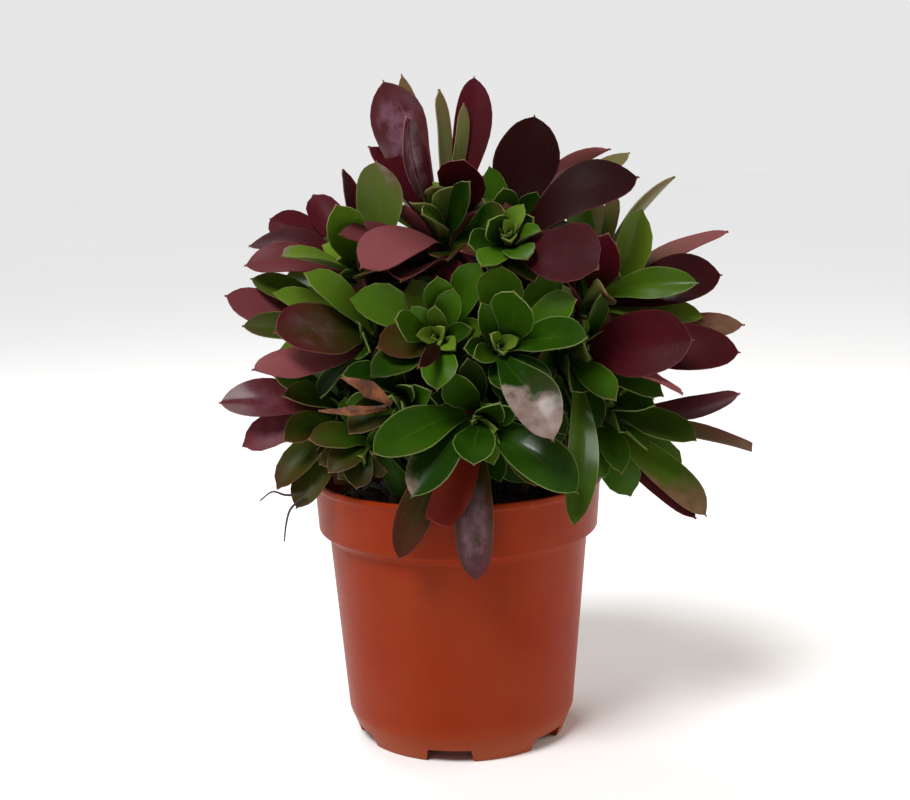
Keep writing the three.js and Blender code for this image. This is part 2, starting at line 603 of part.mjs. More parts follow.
// And for a large outer leaf: how far its tip moves the way its upper face looks.
const GROWN_SHIFTS = [0, 1.5, -1.5, 3, -3, 5, -5, 8, -8];

// Whether a leaf stands clear of the pot and soil, of the stems and the other heads' cores,
// of the other heads' leaves and, apart from its root, of the leaves of its own head.
function standsClear(one, placed, balls) {
  const points = spread(one.leaf);
  const touches = ({ centre, radius, head }) =>
    head !== one.head && points.some((p) => p.distanceTo(centre) < radius + 1);
  if (points.some(inPot) || balls.some(touches)) return false;
  return placed.every((other) => {
    if (one.middle.distanceTo(other.middle) > one.size + other.size) return true;
    const same = one.head === other.head;
    return !crosses(same ? one.outer : one.whole, same ? other.outer : other.whole);
  });
}

// Every leaf of the plant: the large outer ones first, then one round after another of
// those that the rule places. A leaf that nothing brings clear is left out.
function placeLeaves() {
  const balls = ballsOf();
  const placed = [];
  const add = (head, shapes) => {
    for (const leaf of shapes) {
      const one = {
        head,
        leaf,
        middle: bladePoint(leaf, 0.5, 0, 0),
        size: (leaf.chord.length() + leaf.wide) / 2,
        whole: bladeFaces(leaf, LEAF_CLEARANCE),
        outer: bladeFaces(leaf, 0).slice(3),
      };
      if (standsClear(one, placed, balls)) return placed.push(one);
    }
    return 0;
  };
  for (const head of HEADS) {
    for (const row of head.grown) add(head, GROWN_SHIFTS.map((shift) => grownLeaf(head, row, shift)));
  }
  const draws = HEADS.map((_, n) => seeded(1000 + 77 * n));
  const rounds = Math.max(...HEADS.map((head) => head.leaves));
  for (let i = 0; i < rounds; i++) {
    HEADS.forEach((head, n) => {
      if (i >= head.leaves) return;
      const random = [draws[n](), draws[n](), draws[n]()];
      add(head, RULE_CHANGES.map((change) => spiralLeaf(head, i, random, change)));
    });
  }
  return placed;
}

// ---------------------------------------------------------------- heads
function core(head) {
  const profile = [
    [0, -CORE_LENGTH],
    [CORE_RADIUS - 0.8, -CORE_LENGTH],
    [CORE_RADIUS, -CORE_LENGTH * 0.55],
    [CORE_RADIUS - 1, -6],
    [1.4, -0.5],
    [0, 0.5],
  ];
  const points = profile.map(([radius, height]) => new THREE.Vector2(radius, height));
  const geometry = new THREE.LatheGeometry(points, CORE_SIDES);
  const toAxis = new THREE.Quaternion().setFromUnitVectors(
    new THREE.Vector3(0, 1, 0),
    vec(head.axis).normalize(),
  );
  return solidOf(geometry.applyQuaternion(toAxis).translate(...head.tip));
}

function leafSolid(leaf) {
  const corners = bladeFaces(leaf, 0).flat().flatMap((p) => [p.x, p.y, p.z]);
  const geometry = new THREE.BufferGeometry();
  geometry.setAttribute("position", new THREE.Float32BufferAttribute(corners, 3));
  return solidOf(geometry);
}

// ---------------------------------------------------------------- materials
const material = (color, roughness) =>
  new THREE.MeshStandardMaterial({ color, roughness, metalness: 0, flatShading: true });
const terracotta = material(0x9a3c18, 0.5);
const earth = material(0x241a14, 0.95);
const bark = material(0x5b4030, 0.8);
const leafGreen = material(0x35601f, 0.4);
const leafBurgundy = material(0x5a2030, 0.4);

// ---------------------------------------------------------------- assembly
const group = new THREE.Group();
group.add(meshOf("pot", pot(), terracotta));
group.add(meshOf("soil", soil(), earth));
for (const name of Object.keys(STEMS)) group.add(meshOf(name, stem(name), bark));

const placed = placeLeaves();
for (const head of HEADS) {
  const leaves = placed.filter((one) => one.head === head).map(({ leaf }) => leafSolid(leaf));
  const colour = head.dark ? leafBurgundy : leafGreen;
  group.add(meshOf(head.name, fused([core(head), ...leaves]), colour));
}

export default group;
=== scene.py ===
"""The looks of a potted aeonium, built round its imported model.

Laid out as an add-on with one operator for each group of pieces, and run as a script.
Lengths in the plant's tables are millimetres; everything in Blender is metres. +Z is up,
the origin is the middle of the pot's base, and -Y is the front.
"""

import math
from typing import NamedTuple

import bpy
import numpy as np
from bpy.props import FloatProperty, FloatVectorProperty, IntProperty
from mathutils import Matrix, Vector
from mathutils.bvhtree import BVHTree


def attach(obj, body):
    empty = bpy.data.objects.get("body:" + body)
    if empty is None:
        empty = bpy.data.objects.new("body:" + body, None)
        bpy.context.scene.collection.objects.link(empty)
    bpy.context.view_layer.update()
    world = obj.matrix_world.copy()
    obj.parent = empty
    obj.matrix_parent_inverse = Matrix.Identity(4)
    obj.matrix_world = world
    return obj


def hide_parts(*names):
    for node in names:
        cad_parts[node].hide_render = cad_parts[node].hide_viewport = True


bl_info = {
    "name": "Potted aeonium",
    "version": (1, 0, 0),
    "blender": (4, 5, 0),
    "location": "3D View > Sidebar > Aeonium",
    "description": "Builds the leaves, stems, soil and pot of a potted aeonium",
    "category": "Add Mesh",
}

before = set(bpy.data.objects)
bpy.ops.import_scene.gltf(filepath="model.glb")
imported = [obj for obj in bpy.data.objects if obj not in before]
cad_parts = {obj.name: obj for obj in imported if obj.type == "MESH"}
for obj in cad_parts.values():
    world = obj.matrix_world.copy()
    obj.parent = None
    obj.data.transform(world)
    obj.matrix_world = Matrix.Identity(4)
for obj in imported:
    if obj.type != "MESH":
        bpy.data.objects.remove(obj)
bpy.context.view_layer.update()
MM = 0.001


# ---------------------------------------------------------------- the plant, as its solids are
class Grown(NamedTuple):
    """A large outer leaf: its tip, the way its upper face looks, width, arch, how far behind
    the growing tip it leaves the core, how red the sun has turned it (0 to 1, and past 1
    it darkens), how far it bows sideways, how high its edge waves, what share of it has
    dried from the tip, how much of an underside's rose its outer face has, how glossy it
    is and how strong a painted lilac-silver sheen its colour has, whether its tip is torn
    off, and how fresh its green is."""

    tip: tuple
    face: tuple
    wide: float
    arch: float
    back: float
    red: float
    bend: float = 0.0
    wave: float = 0.0
    dry: float = 0.0
    rose: float = 0.0
    gloss: float = 0.0
    torn: float = 0.0
    youth: float = 0.0


class Head(NamedTuple):
    """A leafy head: its growing tip, the way it looks, its stem, how many leaves the rule
    places, how long the oldest of them is, and where their spiral starts, in degrees."""

    name: str
    tip: tuple
    axis: tuple
    stem: str
    leaves: int
    reach: float
    turn: float


# Woody stems: where each leaves the soil, where it forks, and how thick it is.
STEMS = {
    "stem_left": ((-24, -8), (-18, -6, 134), 4.4),
    "stem_middle": ((2, 8), (3, 2, 138), 5),
    "stem_right": ((26, 8), (22, 2, 136), 4.4),
    "stem_low_right": ((45, -9), (45, -6, 112), 3.6),
}

HEADS = [
    Head("head_front", (-6, -47, 173), (-0.15, -0.93, 0.32), "stem_middle", 21, 34, 40),
    Head("head_front_right", (17, -50, 169), (0.24, -0.88, 0.4), "stem_middle", 20, 34, 15),
    Head("head_front_left", (-22, -52, 149), (-0.4, -0.88, -0.15), "stem_left", 20, 34, 75),
    Head("head_low_front", (9, -54, 142), (0, -0.98, -0.2), "stem_middle", 16, 40, 10),
    Head("head_top", (24, -12, 207), (0.15, -0.4, 0.9), "stem_middle", 22, 46, 95),
    Head("head_crown", (-4, 0, 213), (-0.1, -0.15, 0.98), "stem_middle", 16, 50, 150),
    Head("head_upper_left", (-41, -15, 199), (-0.6, -0.35, 0.72), "stem_left", 18, 44, 200),
    Head("head_left", (-38, -34, 172), (-0.78, -0.58, 0.22), "stem_left", 18, 42, 20),
    Head("head_upper_front", (21, -40, 210), (-0.05, -0.7, 0.71), "stem_middle", 16, 32, 140),
    Head("head_low_middle", (-37, -42, 126), (-0.3, -0.9, -0.3), "stem_left", 15, 32, 300),
    Head("head_low_left", (-50, -22, 138), (-0.78, -0.6, -0.1), "stem_left", 20, 38, 60),
    Head("head_upper_right", (60, -8, 186), (0.72, -0.25, 0.65), "stem_right", 18, 42, 30),
    Head("head_right", (50, -32, 164), (0.72, -0.66, 0.2), "stem_right", 16, 42, 110),
    Head("head_low_right", (64, -15, 140), (0.72, -0.52, 0.4), "stem_low_right", 18, 38, 250),
    Head("head_back_top", (6, 32, 206), (0.05, 0.55, 0.83), "stem_middle", 16, 57, 20),
    Head("head_back_left", (-42, 24, 178), (-0.68, 0.52, 0.5), "stem_left", 17, 55, 230),
    Head("head_back_right", (48, 30, 178), (0.62, 0.6, 0.5), "stem_right", 18, 55, 60),
    Head("head_back_low", (2, 50, 152), (0, 0.97, 0.22), "stem_middle", 16, 52, 170),
    Head("head_low_back_left", (-46, 24, 136), (-0.75, 0.65, 0.05), "stem_left", 14, 48, 340),
    Head("head_low_back_right", (50, 30, 138), (0.7, 0.7, 0.1), "stem_right", 14, 48, 110),
]

# The large outer leaves of each head.
GROWN = {
    "head_front": [
        Grown((-21, -66, 183), (0.2, -0.9, 0.35), wide=12, arch=-2, back=5, red=0.05),
        Grown((-27, -66, 176), (0.2, -0.8, 0.5), wide=16, arch=3, back=10, red=0.5),
        Grown((-7, -74, 158), (0, -0.7, 0.7), wide=14, arch=3, back=7, red=0.05),
        Grown((-39, -50, 189), (0.3, -0.8, 0.5), wide=18, arch=2, back=13, red=0.1, youth=0.78),
        Grown((-6, -50, 196), (0, -0.9, 0.4), wide=12, arch=-2, back=8, red=0),
        Grown((9, -46, 201), (-0.2, -0.9, 0.4), wide=14, arch=-2, back=10, red=0),
        Grown((-31, -66, 165), (0.1, -0.7, 0.7), wide=15, arch=3, back=11, red=0.2),
    ],
    "head_front_right": [
        Grown((18, -56, 201), (0, -0.95, 0.3), wide=18, arch=-3, back=9, red=0.12),
        Grown((21, -72, 192), (-0.1, -0.95, 0.3), wide=18, arch=-3, back=6, red=0.05, bend=3),
        Grown((43, -66, 189), (-0.2, -0.9, 0.4), wide=16, arch=-2, back=9, red=0),
        Grown((47, -72, 174), (0, -0.75, 0.65), wide=15, arch=2, back=8, red=0.05),
        Grown((40, -50, 198), (-0.1, -0.95, 0.3), wide=14, arch=-2, back=12, red=0.05),
        Grown((34, -88, 143), (-0.1, -0.78, 0.6), wide=19, arch=5, back=5, red=0.3, dry=0.42, gloss=0.6),
        Grown((36, -70, 138), (0.5, -0.8, 0.3), wide=10, arch=3, back=10, red=0.4, dry=0.3, rose=0.4),
    ],
    "head_front_left": [
        Grown((-41, -66, 163), (-0.1, -0.8, 0.6), wide=13, arch=3, back=7, red=0),
        Grown((-40, -64, 141), (-0.1, -0.8, 0.6), wide=15, arch=4, back=7, red=0.3),
    ],
    "head_low_front": [
        Grown((6, -66, 82), (0.05, -1, 0.1), wide=15, arch=8, back=6, red=0.62, gloss=1),
        Grown((-8, -72, 106), (0.15, -1, 0.1), wide=14, arch=4, back=5, red=1, wave=1, torn=1),
        Grown((-23, -66, 91), (-0.4, -0.9, 0.1), wide=15, arch=5, back=11, red=0.55),
        Grown((-17, -82, 120), (-0.1, -0.8, 0.6), wide=17, arch=5, back=3, red=0.08, dry=0.1, gloss=0.3),
        Grown((44, -76, 119), (0.1, -0.9, 0.35), wide=19, arch=5, back=10, red=0, gloss=0.8),
        Grown((34, -62, 118), (0.1, -0.9, 0.3), wide=14, arch=5, back=14, red=0.3),
        Grown((6, -80, 131), (0, -0.8, 0.5), wide=16, arch=2, back=1, red=0),
        Grown((-31, -84, 136), (0.1, -0.75, 0.65), wide=18, arch=4, back=7, red=0.1),
    ],
    "head_top": [
        Grown((34, -2, 256), (0.1, -1, 0.15), wide=25, arch=-3, back=8, red=1.4, wave=1.4),
        Grown((73, -24, 231), (0, -0.7, 0.72), wide=22, arch=13, back=10, red=1.4),
        Grown((63, 16, 243), (-0.3, 0.5, 0.8), wide=18, arch=10, back=12, red=0.9, rose=0.5),
        Grown((75, 30, 242), (0, -0.6, 0.8), wide=12, arch=4, back=14, red=0.15, rose=0.9),
        Grown((15, -6, 236), (0, -1, 0.15), wide=10, arch=0, back=6, red=0),
        Grown((20, -26, 228), (0, -1, 0.2), wide=11, arch=-2, back=5, red=0),
        Grown((33, -20, 226), (0, -1, 0.2), wide=11, arch=-2, back=6, red=0),
        Grown((30, -36, 217), (0, -0.9, 0.4), wide=9, arch=-1, back=5, red=0),
    ],
    "head_crown": [
        Grown(
            (-27, 10, 271), (0.2, -0.97, 0.1),
            wide=22, arch=-3, back=6, red=0.95, wave=1.8, rose=0.2, gloss=1,
        ),
        Grown((-17, -16, 256), (0.7, -0.7, 0.1), wide=15, arch=-3, back=3, red=0.95, bend=-3, gloss=1),
        Grown((10, 14, 272), (0.1, -1, 0.1), wide=15, arch=2, back=8, red=0.95, bend=4),
        Grown((5, -18, 239), (0, -1, 0.12), wide=20, arch=-3, back=3, red=0.98, bend=2),
        Grown((-34, -50, 203), (0.12, -0.55, 0.85), wide=20, arch=8, back=10, red=0.95, rose=0.85),
        Grown((-4, 20, 267), (0.9, -0.45, 0), wide=12, arch=2, back=9, red=0.22, rose=0.8),
        Grown((-33, 4, 244), (0.5, -0.6, 0.6), wide=16, arch=2, back=12, red=0.9),
        Grown((-18, 26, 275), (0.5, -0.8, 0.1), wide=11, arch=-3, back=13, red=0.3, rose=0.9),
        Grown((2, 12, 261), (0.6, -0.8, 0), wide=7, arch=1, back=5, red=0.2, rose=0.8),
        Grown((18, -40, 219), (-0.2, -0.9, 0.35), wide=15, arch=-2, back=10, red=0.15),
        Grown((-43, -36, 213), (0.1, -0.7, 0.7), wide=13, arch=3, back=14, red=0.95, rose=0.5),
    ],
    "head_upper_left": [
        Grown(
            (-30, -22, 239), (-0.1, -1, 0.12),
            wide=19, arch=-3, back=8, red=0.15, bend=4, dry=0.08, rose=0.4, gloss=0.4, youth=0.86,
        ),
        Grown((-82, -6, 207), (-0.2, -0.5, 0.85), wide=18, arch=7, back=8, red=1.15),
        Grown((-80, -24, 200), (-0.2, -0.7, 0.7), wide=15, arch=6, back=12, red=0.9, rose=0.3),
        Grown((-57, 8, 226), (-0.1, -0.85, 0.5), wide=14, arch=2, back=9, red=0.9),
        Grown((-43, 0, 236), (0.8, -0.6, 0.2), wide=13, arch=2, back=6, red=0.8),
        Grown((-44, -36, 223), (0.1, -0.9, 0.35), wide=16, arch=-2, back=5, red=0.05, youth=0.82),
        Grown(
            (-65, -44, 205), (0, -0.55, 0.85),
            wide=14, arch=3, back=8, red=0, dry=0.05, gloss=0.4, youth=0.88,
        ),
        Grown((-75, 8, 216), (0, -0.8, 0.6), wide=15, arch=3, back=10, red=0.9),
    ],
    "head_left": [
        Grown((-66, -62, 179), (-0.1, -0.88, 0.45), wide=24, arch=5, back=8, red=0.58, gloss=0.3),
        Grown(
            (-75, -62, 166), (0.05, -0.75, 0.65),
            wide=15, arch=3, back=10, red=0.95, bend=-3, wave=1, rose=0.85,
        ),
        Grown((-89, -30, 190), (0, -0.72, 0.7), wide=18, arch=-4, back=12, red=0.8, rose=0.55),
        Grown((-54, -46, 196), (0, -0.7, 0.7), wide=13, arch=2, back=8, red=0, youth=0.84),
        Grown((-70, -36, 190), (0, -0.7, 0.7), wide=11, arch=2, back=10, red=0.05, youth=0.9),
        Grown((-80, -20, 194), (0, -0.7, 0.7), wide=12, arch=2, back=9, red=0.25),
        Grown((-67, -50, 170), (0, -0.7, 0.7), wide=10, arch=1, back=12, red=0, youth=0.9),
        Grown((-82, -30, 173), (0, -0.7, 0.7), wide=12, arch=2, back=12, red=0.3),
    ],
    "head_upper_front": [
        Grown((53, -66, 200), (0.05, -0.86, 0.5), wide=27, arch=2, back=1, red=1.15),
        Grown((15, -52, 217), (0, -0.9, 0.4), wide=12, arch=-2, back=6, red=0),
        Grown((33, -50, 208), (0, -0.85, 0.5), wide=12, arch=-1, back=6, red=0.05),
        Grown((6, -50, 209), (0, -0.85, 0.5), wide=13, arch=1, back=8, red=0),
    ],
    "head_low_middle": [
        Grown((-49, -54, 124), (-0.2, -0.85, 0.5), wide=12, arch=4, back=8, red=0.4),
        Grown((-40, -58, 119), (-0.1, -0.9, 0.4), wide=12, arch=4, back=6, red=0.35),
        Grown((-54, -46, 132), (-0.2, -0.8, 0.6), wide=12, arch=4, back=9, red=0.35),
    ],
    "head_low_left": [
        Grown(
            (-94, -26, 146), (-0.1, -0.75, 0.65),
            wide=18, arch=6, back=9, red=0.95, rose=0.12, gloss=0.25,
        ),
        Grown(
            (-85, -30, 129), (-0.1, -0.8, 0.5),
            wide=14, arch=4, back=7, red=0.9, wave=0.5, rose=0.3, gloss=0.3,
        ),
        Grown((-71, -40, 114), (-0.4, -0.8, 0.4), wide=14, arch=4, back=10, red=0.45),
        Grown((-66, -48, 107), (-0.3, -0.9, 0.2), wide=13, arch=4, back=12, red=0.42),
        Grown((-64, -50, 154), (0, -0.75, 0.65), wide=12, arch=3, back=6, red=0.3),
        Grown((-66, -46, 135), (-0.1, -0.8, 0.5), wide=12, arch=3, back=6, red=0.38),
        Grown((-71, -34, 158), (0, -0.75, 0.65), wide=13, arch=3, back=9, red=0.2),
    ],
    "head_upper_right": [
        Grown(
            (74, -20, 218), (0, -0.95, 0.3),
            wide=15, arch=-3, back=7, red=0, bend=5, gloss=0.5, youth=0.95,
        ),
        Grown((111, -2, 209), (0.2, -0.3, 0.95), wide=14, arch=4, back=9, red=0.55, rose=0.8),
        Grown((106, -18, 193), (0.1, -0.86, 0.45), wide=20, arch=5, back=10, red=1.2),
        Grown((94, -34, 191), (0, -0.9, 0.45), wide=13, arch=4, back=7, red=0, gloss=0.3, youth=0.8),
        Grown((99, -20, 176), (0, -0.8, 0.6), wide=13, arch=3, back=12, red=0.1, youth=0.85),
        Grown((59, -36, 209), (-0.1, -0.95, 0.25), wide=16, arch=2, back=5, red=0.78),
        Grown((89, 6, 231), (0.3, 0.3, 0.9), wide=13, arch=4, back=12, red=0.2, rose=0.8),
        Grown((58, -12, 226), (0.2, -0.95, 0.2), wide=8, arch=-2, back=6, red=0.22, rose=0.8),
        Grown((66, -6, 224), (-0.2, -0.95, 0.2), wide=8, arch=-2, back=8, red=0.18, rose=0.8),
    ],
    "head_right": [
        Grown((89, -56, 172), (0.1, -0.9, 0.42), wide=26, arch=4, back=8, red=1.08),
        Grown((110, -40, 165), (0.1, -0.85, 0.5), wide=20, arch=3, back=11, red=1.15),
        Grown((117, -18, 175), (0.2, -0.7, 0.7), wide=12, arch=3, back=12, red=0.55, dry=0.4, rose=0.3),
        Grown((86, -58, 156), (0, 0.25, 1), wide=12, arch=3, back=10, red=0.7, wave=1, rose=0.9),
        Grown((43, -68, 103), (0.25, -0.95, 0.2), wide=12, arch=6, back=5, red=0.05, gloss=0.3, youth=0.8),
        Grown((81, -44, 153), (0, -0.8, 0.6), wide=13, arch=3, back=12, red=0.05),
    ],
    "head_low_right": [
        Grown((115, -14, 143), (0.1, -0.5, 0.85), wide=13, arch=-5, back=3, red=1, rose=0.2),
        Grown(
            (122, -20, 124), (0, -0.3, 0.95),
            wide=12, arch=1, back=12, red=0.5, dry=0.3, rose=0.5, torn=0.3,
        ),
        Grown((99, -32, 97), (0.2, -0.85, 0.5), wide=16, arch=2, back=10, red=0.2, dry=0.4, youth=0.82),
        Grown((94, -36, 129), (0, -0.8, 0.6), wide=15, arch=3, back=6, red=0.1, youth=0.8),
        Grown((93, -8, 109), (0.1, -0.9, 0.4), wide=15, arch=3, back=10, red=0.1, youth=0.75),
        Grown((70, -18, 103), (0, -1, 0.1), wide=16, arch=2, back=12, red=0),
        Grown((96, -24, 94), (0.1, -0.4, 0.9), wide=11, arch=-3, back=13, red=0.95),
        Grown((76, -38, 145), (0, -0.8, 0.6), wide=12, arch=2, back=5, red=0.05),
    ],
}

# Small leaves that close gaps between the heads, by the head that each grows from.
GAP_LEAVES = {
    "head_crown": [
        Grown((7, -26, 228), (0, -0.9, 0.4), wide=11, arch=1, back=6, red=0.1),
        Grown((-9, -34, 219), (0, -0.9, 0.4), wide=11, arch=1, back=6, red=0.05),
    ],
    "head_front": [
        Grown((-12, -83, 168.5), (0.3, -0.9, 0.3), wide=6, arch=1, back=3, red=1.35),
    ],
    "head_front_right": [
        Grown((41, -56, 136), (0.2, -0.9, 0.3), wide=12, arch=2, back=10, red=0.1),
        Grown((33, -60, 154), (0.2, -0.9, 0.3), wide=12, arch=2, back=8, red=0.05),
        Grown((13, -36, 152), (0, -0.9, 0.3), wide=12, arch=1, back=14, red=0.1),
    ],
    "head_low_middle": [
        Grown((-54, -48, 126), (-0.2, -0.85, 0.5), wide=10, arch=3, back=9, red=0.4),
    ],
    "head_right": [
        Grown((59, -56, 149), (0.1, -0.9, 0.3), wide=12, arch=2, back=9, red=0.05),
    ],
    "head_low_right": [
        Grown((65, -34, 117), (0.1, -0.95, 0.2), wide=12, arch=2, back=9, red=0.05),
    ],
    "head_upper_right": [
        Grown((50, -14, 223), (0, -0.9, 0.4), wide=12, arch=1, back=8, red=0.05),
        Grown((55, -4, 226), (0, -0.9, 0.4), wide=12, arch=1, back=10, red=0.1),
    ],
    "head_upper_front": [
        Grown((27, -58, 202), (0, -0.85, 0.5), wide=12, arch=1, back=5, red=0.02),
        Grown((11, -56, 200), (0, -0.85, 0.5), wide=11, arch=1, back=6, red=0.02),
    ],
    "head_back_low": [
        Grown((17, 24, 147), (0, -0.9, 0.3), wide=14, arch=1, back=6, red=0.1),
    ],
}

# Dead leaves that still hang on: root, tip, the way the face looks, width, arch and wave.
WITHERED = [
    ((-24, -66, 151), (-41, -74, 163), (-0.2, -0.8, 0.55), 6, 2, 1.6),
    ((-26, -64, 150), (-51, -68, 150), (0.1, -0.6, 0.8), 4, -1, 1.2),
]
# Black dried flower stalks, thin as thread.
THREADS = [
    [(-60, -42, 112), (-67, -44, 112), (-72, -44, 113.5), (-77, -44, 110)],
    [(-60, -44, 111), (-65, -46, 107), (-67, -46, 101), (-68, -46, 94)],
]
THREAD_RADIUS = 0.45

# The heads that stand highest in the sun.
DARK_HEADS = (
    "head_top", "head_crown", "head_upper_left", "head_upper_right", "head_right", "head_back_top",
)

# The pot, and the soil's level in it.
POT_HEIGHT = 110
RIM_RADIUS = 60
BAND_HEIGHT = 25
WALL_TOP_RADIUS = 53.7
WALL_FOOT_RADIUS = 47.5
FOOT_RADIUS = 43
FOOT_HEIGHT = 11.2
WALL = 1.6
FLOOR_UNDERSIDE = 6
FLOOR_TOP = FLOOR_UNDERSIDE + 2
NOTCH_COUNT = 6
NOTCH_ANGLE = 27
NOTCH_HEIGHT = 5.6
FIRST_NOTCH = -97
CENTRE_PAD_RADIUS = 13
DRAIN_RADIUS = 4.5
DRAIN_CIRCLE = 26
SOIL_LEVEL = 99
SOIL_GAP = 0.4

# How deep the stems stand, the fleshy end of a branch, the gap before it, how thick a
# branch is beside its stem, and how many balls stand for each in the test for room.
STEM_DEPTH = 18
CORE_LENGTH = 25
CORE_RADIUS = 4.6
BUTT_GAP = 0.35
BRANCH_SHARE = 0.72
WOOD_BALLS, CORE_BALLS = 15, 9

# A plain blade: how it cups, how clear it stays of others and of the pot, from what length
# it has more sections, and for each section its place, width as a share and thickness.
CUP = 0.12
LEAF_CLEARANCE = 0.25
POT_CLEARANCE = 1.6
LONG_LEAF = 46
SHORT_SECTIONS = ((0.26, 0.42, 2.2), (0.64, 1, 2), (0.9, 0.72, 1.3))
LONG_SECTIONS = ((0.2, 0.3, 2.6), (0.45, 0.68, 2.4), (0.72, 1, 2), (0.92, 0.7, 1.3))

# The rule: the turn from leaf to leaf, the lean and length of the youngest and what the
# oldest has more, how far a draw moves them, and length over width.
GOLDEN_TURN = 137.508
YOUNG_LEAN, ADDED_LEAN = 14, 76
YOUNG_REACH, ADDED_REACH = 0.32, 0.68
SCATTER = 10
LEAF_SHAPE = 2.35
FILL_SHAPE = 2.9
FILL_AGE, FILL_TURN, GOLDEN_SHARE = 0.15, 63, 0.618
NARROWEST = 5
LEAF_ARCH = 0.06
# What is tried when a leaf has no room: degrees of turn, degrees of lean, share of length.
RULE_CHANGES = (
    (0, 0, 1), (10, -4, 1), (-10, -4, 1), (0, -14, 0.95), (0, 10, 0.95), (14, -16, 0.85),
    (-14, -16, 0.85), (0, -26, 0.8), (20, -34, 0.8), (-20, -40, 0.8), (0, -8, 0.6),
)
FILL_CHANGES = (
    (0, 0, 0.9), (16, 0, 0.85), (-16, 0, 0.85), (30, -8, 0.8), (-30, -8, 0.8), (0, -18, 0.8),
    (12, -26, 0.7), (-12, -26, 0.7), (0, 12, 0.7), (24, -14, 0.6), (-24, -14, 0.6), (0, 0, 0.5),
)
# How far a placed leaf's tip is moved along its face, until it stands clear.
GROWN_SHIFTS = (0, 1.5, -1.5, 3, -3, 5, -5, 8, -8)
# Leaves on the branches behind the heads.
INNER = "inner"
INNER_LEAVES = 9
INNER_TURNS = (0, 25, -25, 50, -50, 90, 180, -90)
INNER_START, INNER_STRETCH = 0.3, 0.68
BRANCH_STEPS = 38

# The sun: leaves further out than this from the dome's middle turn red, higher ones sooner,
# young ones hardly, and low ones on the left are olive. Low leaves also get painted shade:
# their colour is made darker, less so on the sunny right.
DOME_CENTRE = np.array((5.0, -5.0, 128.0))
GREEN_RADIUS, RED_DEPTH, HEIGHT_SHARE = 68, 34, 0.25
GREEN_AGE, REDDENING_AGE = 0.42, 0.4
OLIVE_LEFT_OF, OLIVE_BELOW, OLIVE_DEPTH, OLIVE_RED = -20, 150, 35, 0.42
SHADED_BELOW, SHADED_DEPTH, DARKEST = 185, 90, -0.5
SUNNY_RIGHT_OF, SUNNY_SHARE = 45, 0.2

# The seeds of the draws, and from one head to the next the step between them.
RULE_SEED, RULE_SEED_STEP = 1000, 77
BEND_SEED, BEND_SEED_STEP = 7001, 31
CRUMB_SEED = 4111
DEAD_SEED = 9091
SEED_FACTOR, SEED_MODULUS = 48271, 2147483647


# ---------------------------------------------------------------- where the leaves go
def unit(v):
    """The direction of a vector."""
    v = np.asarray(v, float)
    return v / math.sqrt(v @ v)


def seeded(seed):
    """A generator of numbers from 0 to 1 that gives the same row for the same seed."""
    state = seed
    while True:
        state = (state * SEED_FACTOR) % SEED_MODULUS
        yield state / SEED_MODULUS


class Leaf:
    """A blade: root and tip, width, and the frame in which it bends."""

    def __init__(self, root, tip, face, wide, arch, bend=0.0, **looks):
        self.root = root
        self.chord = tip - root
        self.length = math.sqrt(self.chord @ self.chord)
        along = self.chord / self.length
        self.up = unit(face - along * (face @ along))
        self.side = np.cross(along, self.up)
        self.wide = wide
        self.arch = arch
        self.bend = bend
        self.looks = looks

    def point(self, s, u, lift):
        """s runs from root to tip, u from edge to edge, lift is off the blade's middle."""
        s, u, lift = (np.asarray(x, float)[..., None] for x in (s, u, lift))
        bow = 4 * self.arch * s * (1 - s) + CUP * self.wide * 0.5 * u * u
        sideways = u * self.wide * 0.5 + 4 * self.bend * s * (1 - s)
        return self.root + self.chord * s + self.up * (bow + lift) + self.side * sideways

    def solid(self, clearance, skip=0):
        """The plain blade's triangles, flat above and keeled below, with points for ends."""
        sections = SHORT_SECTIONS if self.length < LONG_LEAF else LONG_SECTIONS
        rings = []
        for s, share, thick in sections:
            half = share + 2 * clearance / self.wide
            deep = thick + clearance
            ring = self.point([s] * 3, [half, 0, -half], [clearance, -deep, clearance])
            rings.append(ring)
        root = self.point(0, 0, 0)
        tip = self.point(1 + clearance / self.length, 0, 0)
        sides = ((0, 1), (1, 2), (2, 0))
        made = [(root, rings[0][b], rings[0][a]) for a, b in sides]
        for low, high in zip(rings, rings[1:]):
            for a, b in sides:
                made.append((low[a], low[b], high[b]))
                made.append((low[a], high[b], high[a]))
        made += [(rings[-1][a], rings[-1][b], tip) for a, b in sides]
        return tree_of(made[skip:])

    def spread(self):
        """Points spread over the blade, edge to edge."""
        rows = []
        s = 0.12
        while s < 1.01:
            share = 0.35 if s < 0.3 else 0.9
            rows += [(s, u) for u in (-share, 0, share)]
            s += 0.08
        rows = np.array(rows)
        return self.point(rows[:, 0], rows[:, 1], np.zeros(len(rows)))


def tree_of(triangles):
    """The triangles as a tree that finds which triangles of another it crosses."""
    corners = [tuple(corner) for triangle in triangles for corner in triangle]
    faces = [(k, k + 1, k + 2) for k in range(0, len(corners), 3)]
    return BVHTree.FromPolygons(corners, faces)


ROW_LOOKS = ("red", "wave", "dry", "rose", "gloss", "torn", "youth")


def grown_leaf(head, row, shift):
    """The leaf of one row of the tables, moved along its face by this shift."""
    root = np.array(head.tip, float) - unit(head.axis) * row.back
    tip = np.array(row.tip, float) + unit(row.face) * shift
    face = np.array(row.face, float)
    looks = {name: getattr(row, name) for name in ROW_LOOKS}
    looks["shade"] = shade_at(tip)
    return Leaf(root, tip, face, row.wide, row.arch, row.bend, **looks)


def shade_at(tip):
    """The painted shade of a leaf that grew low: how much darker its colour is made, and less so on the
    sunny right.
    """
    shade = min(0, max(DARKEST, (tip[2] - SHADED_BELOW) / SHADED_DEPTH))
    return shade * (SUNNY_SHARE if tip[0] > SUNNY_RIGHT_OF else 1)


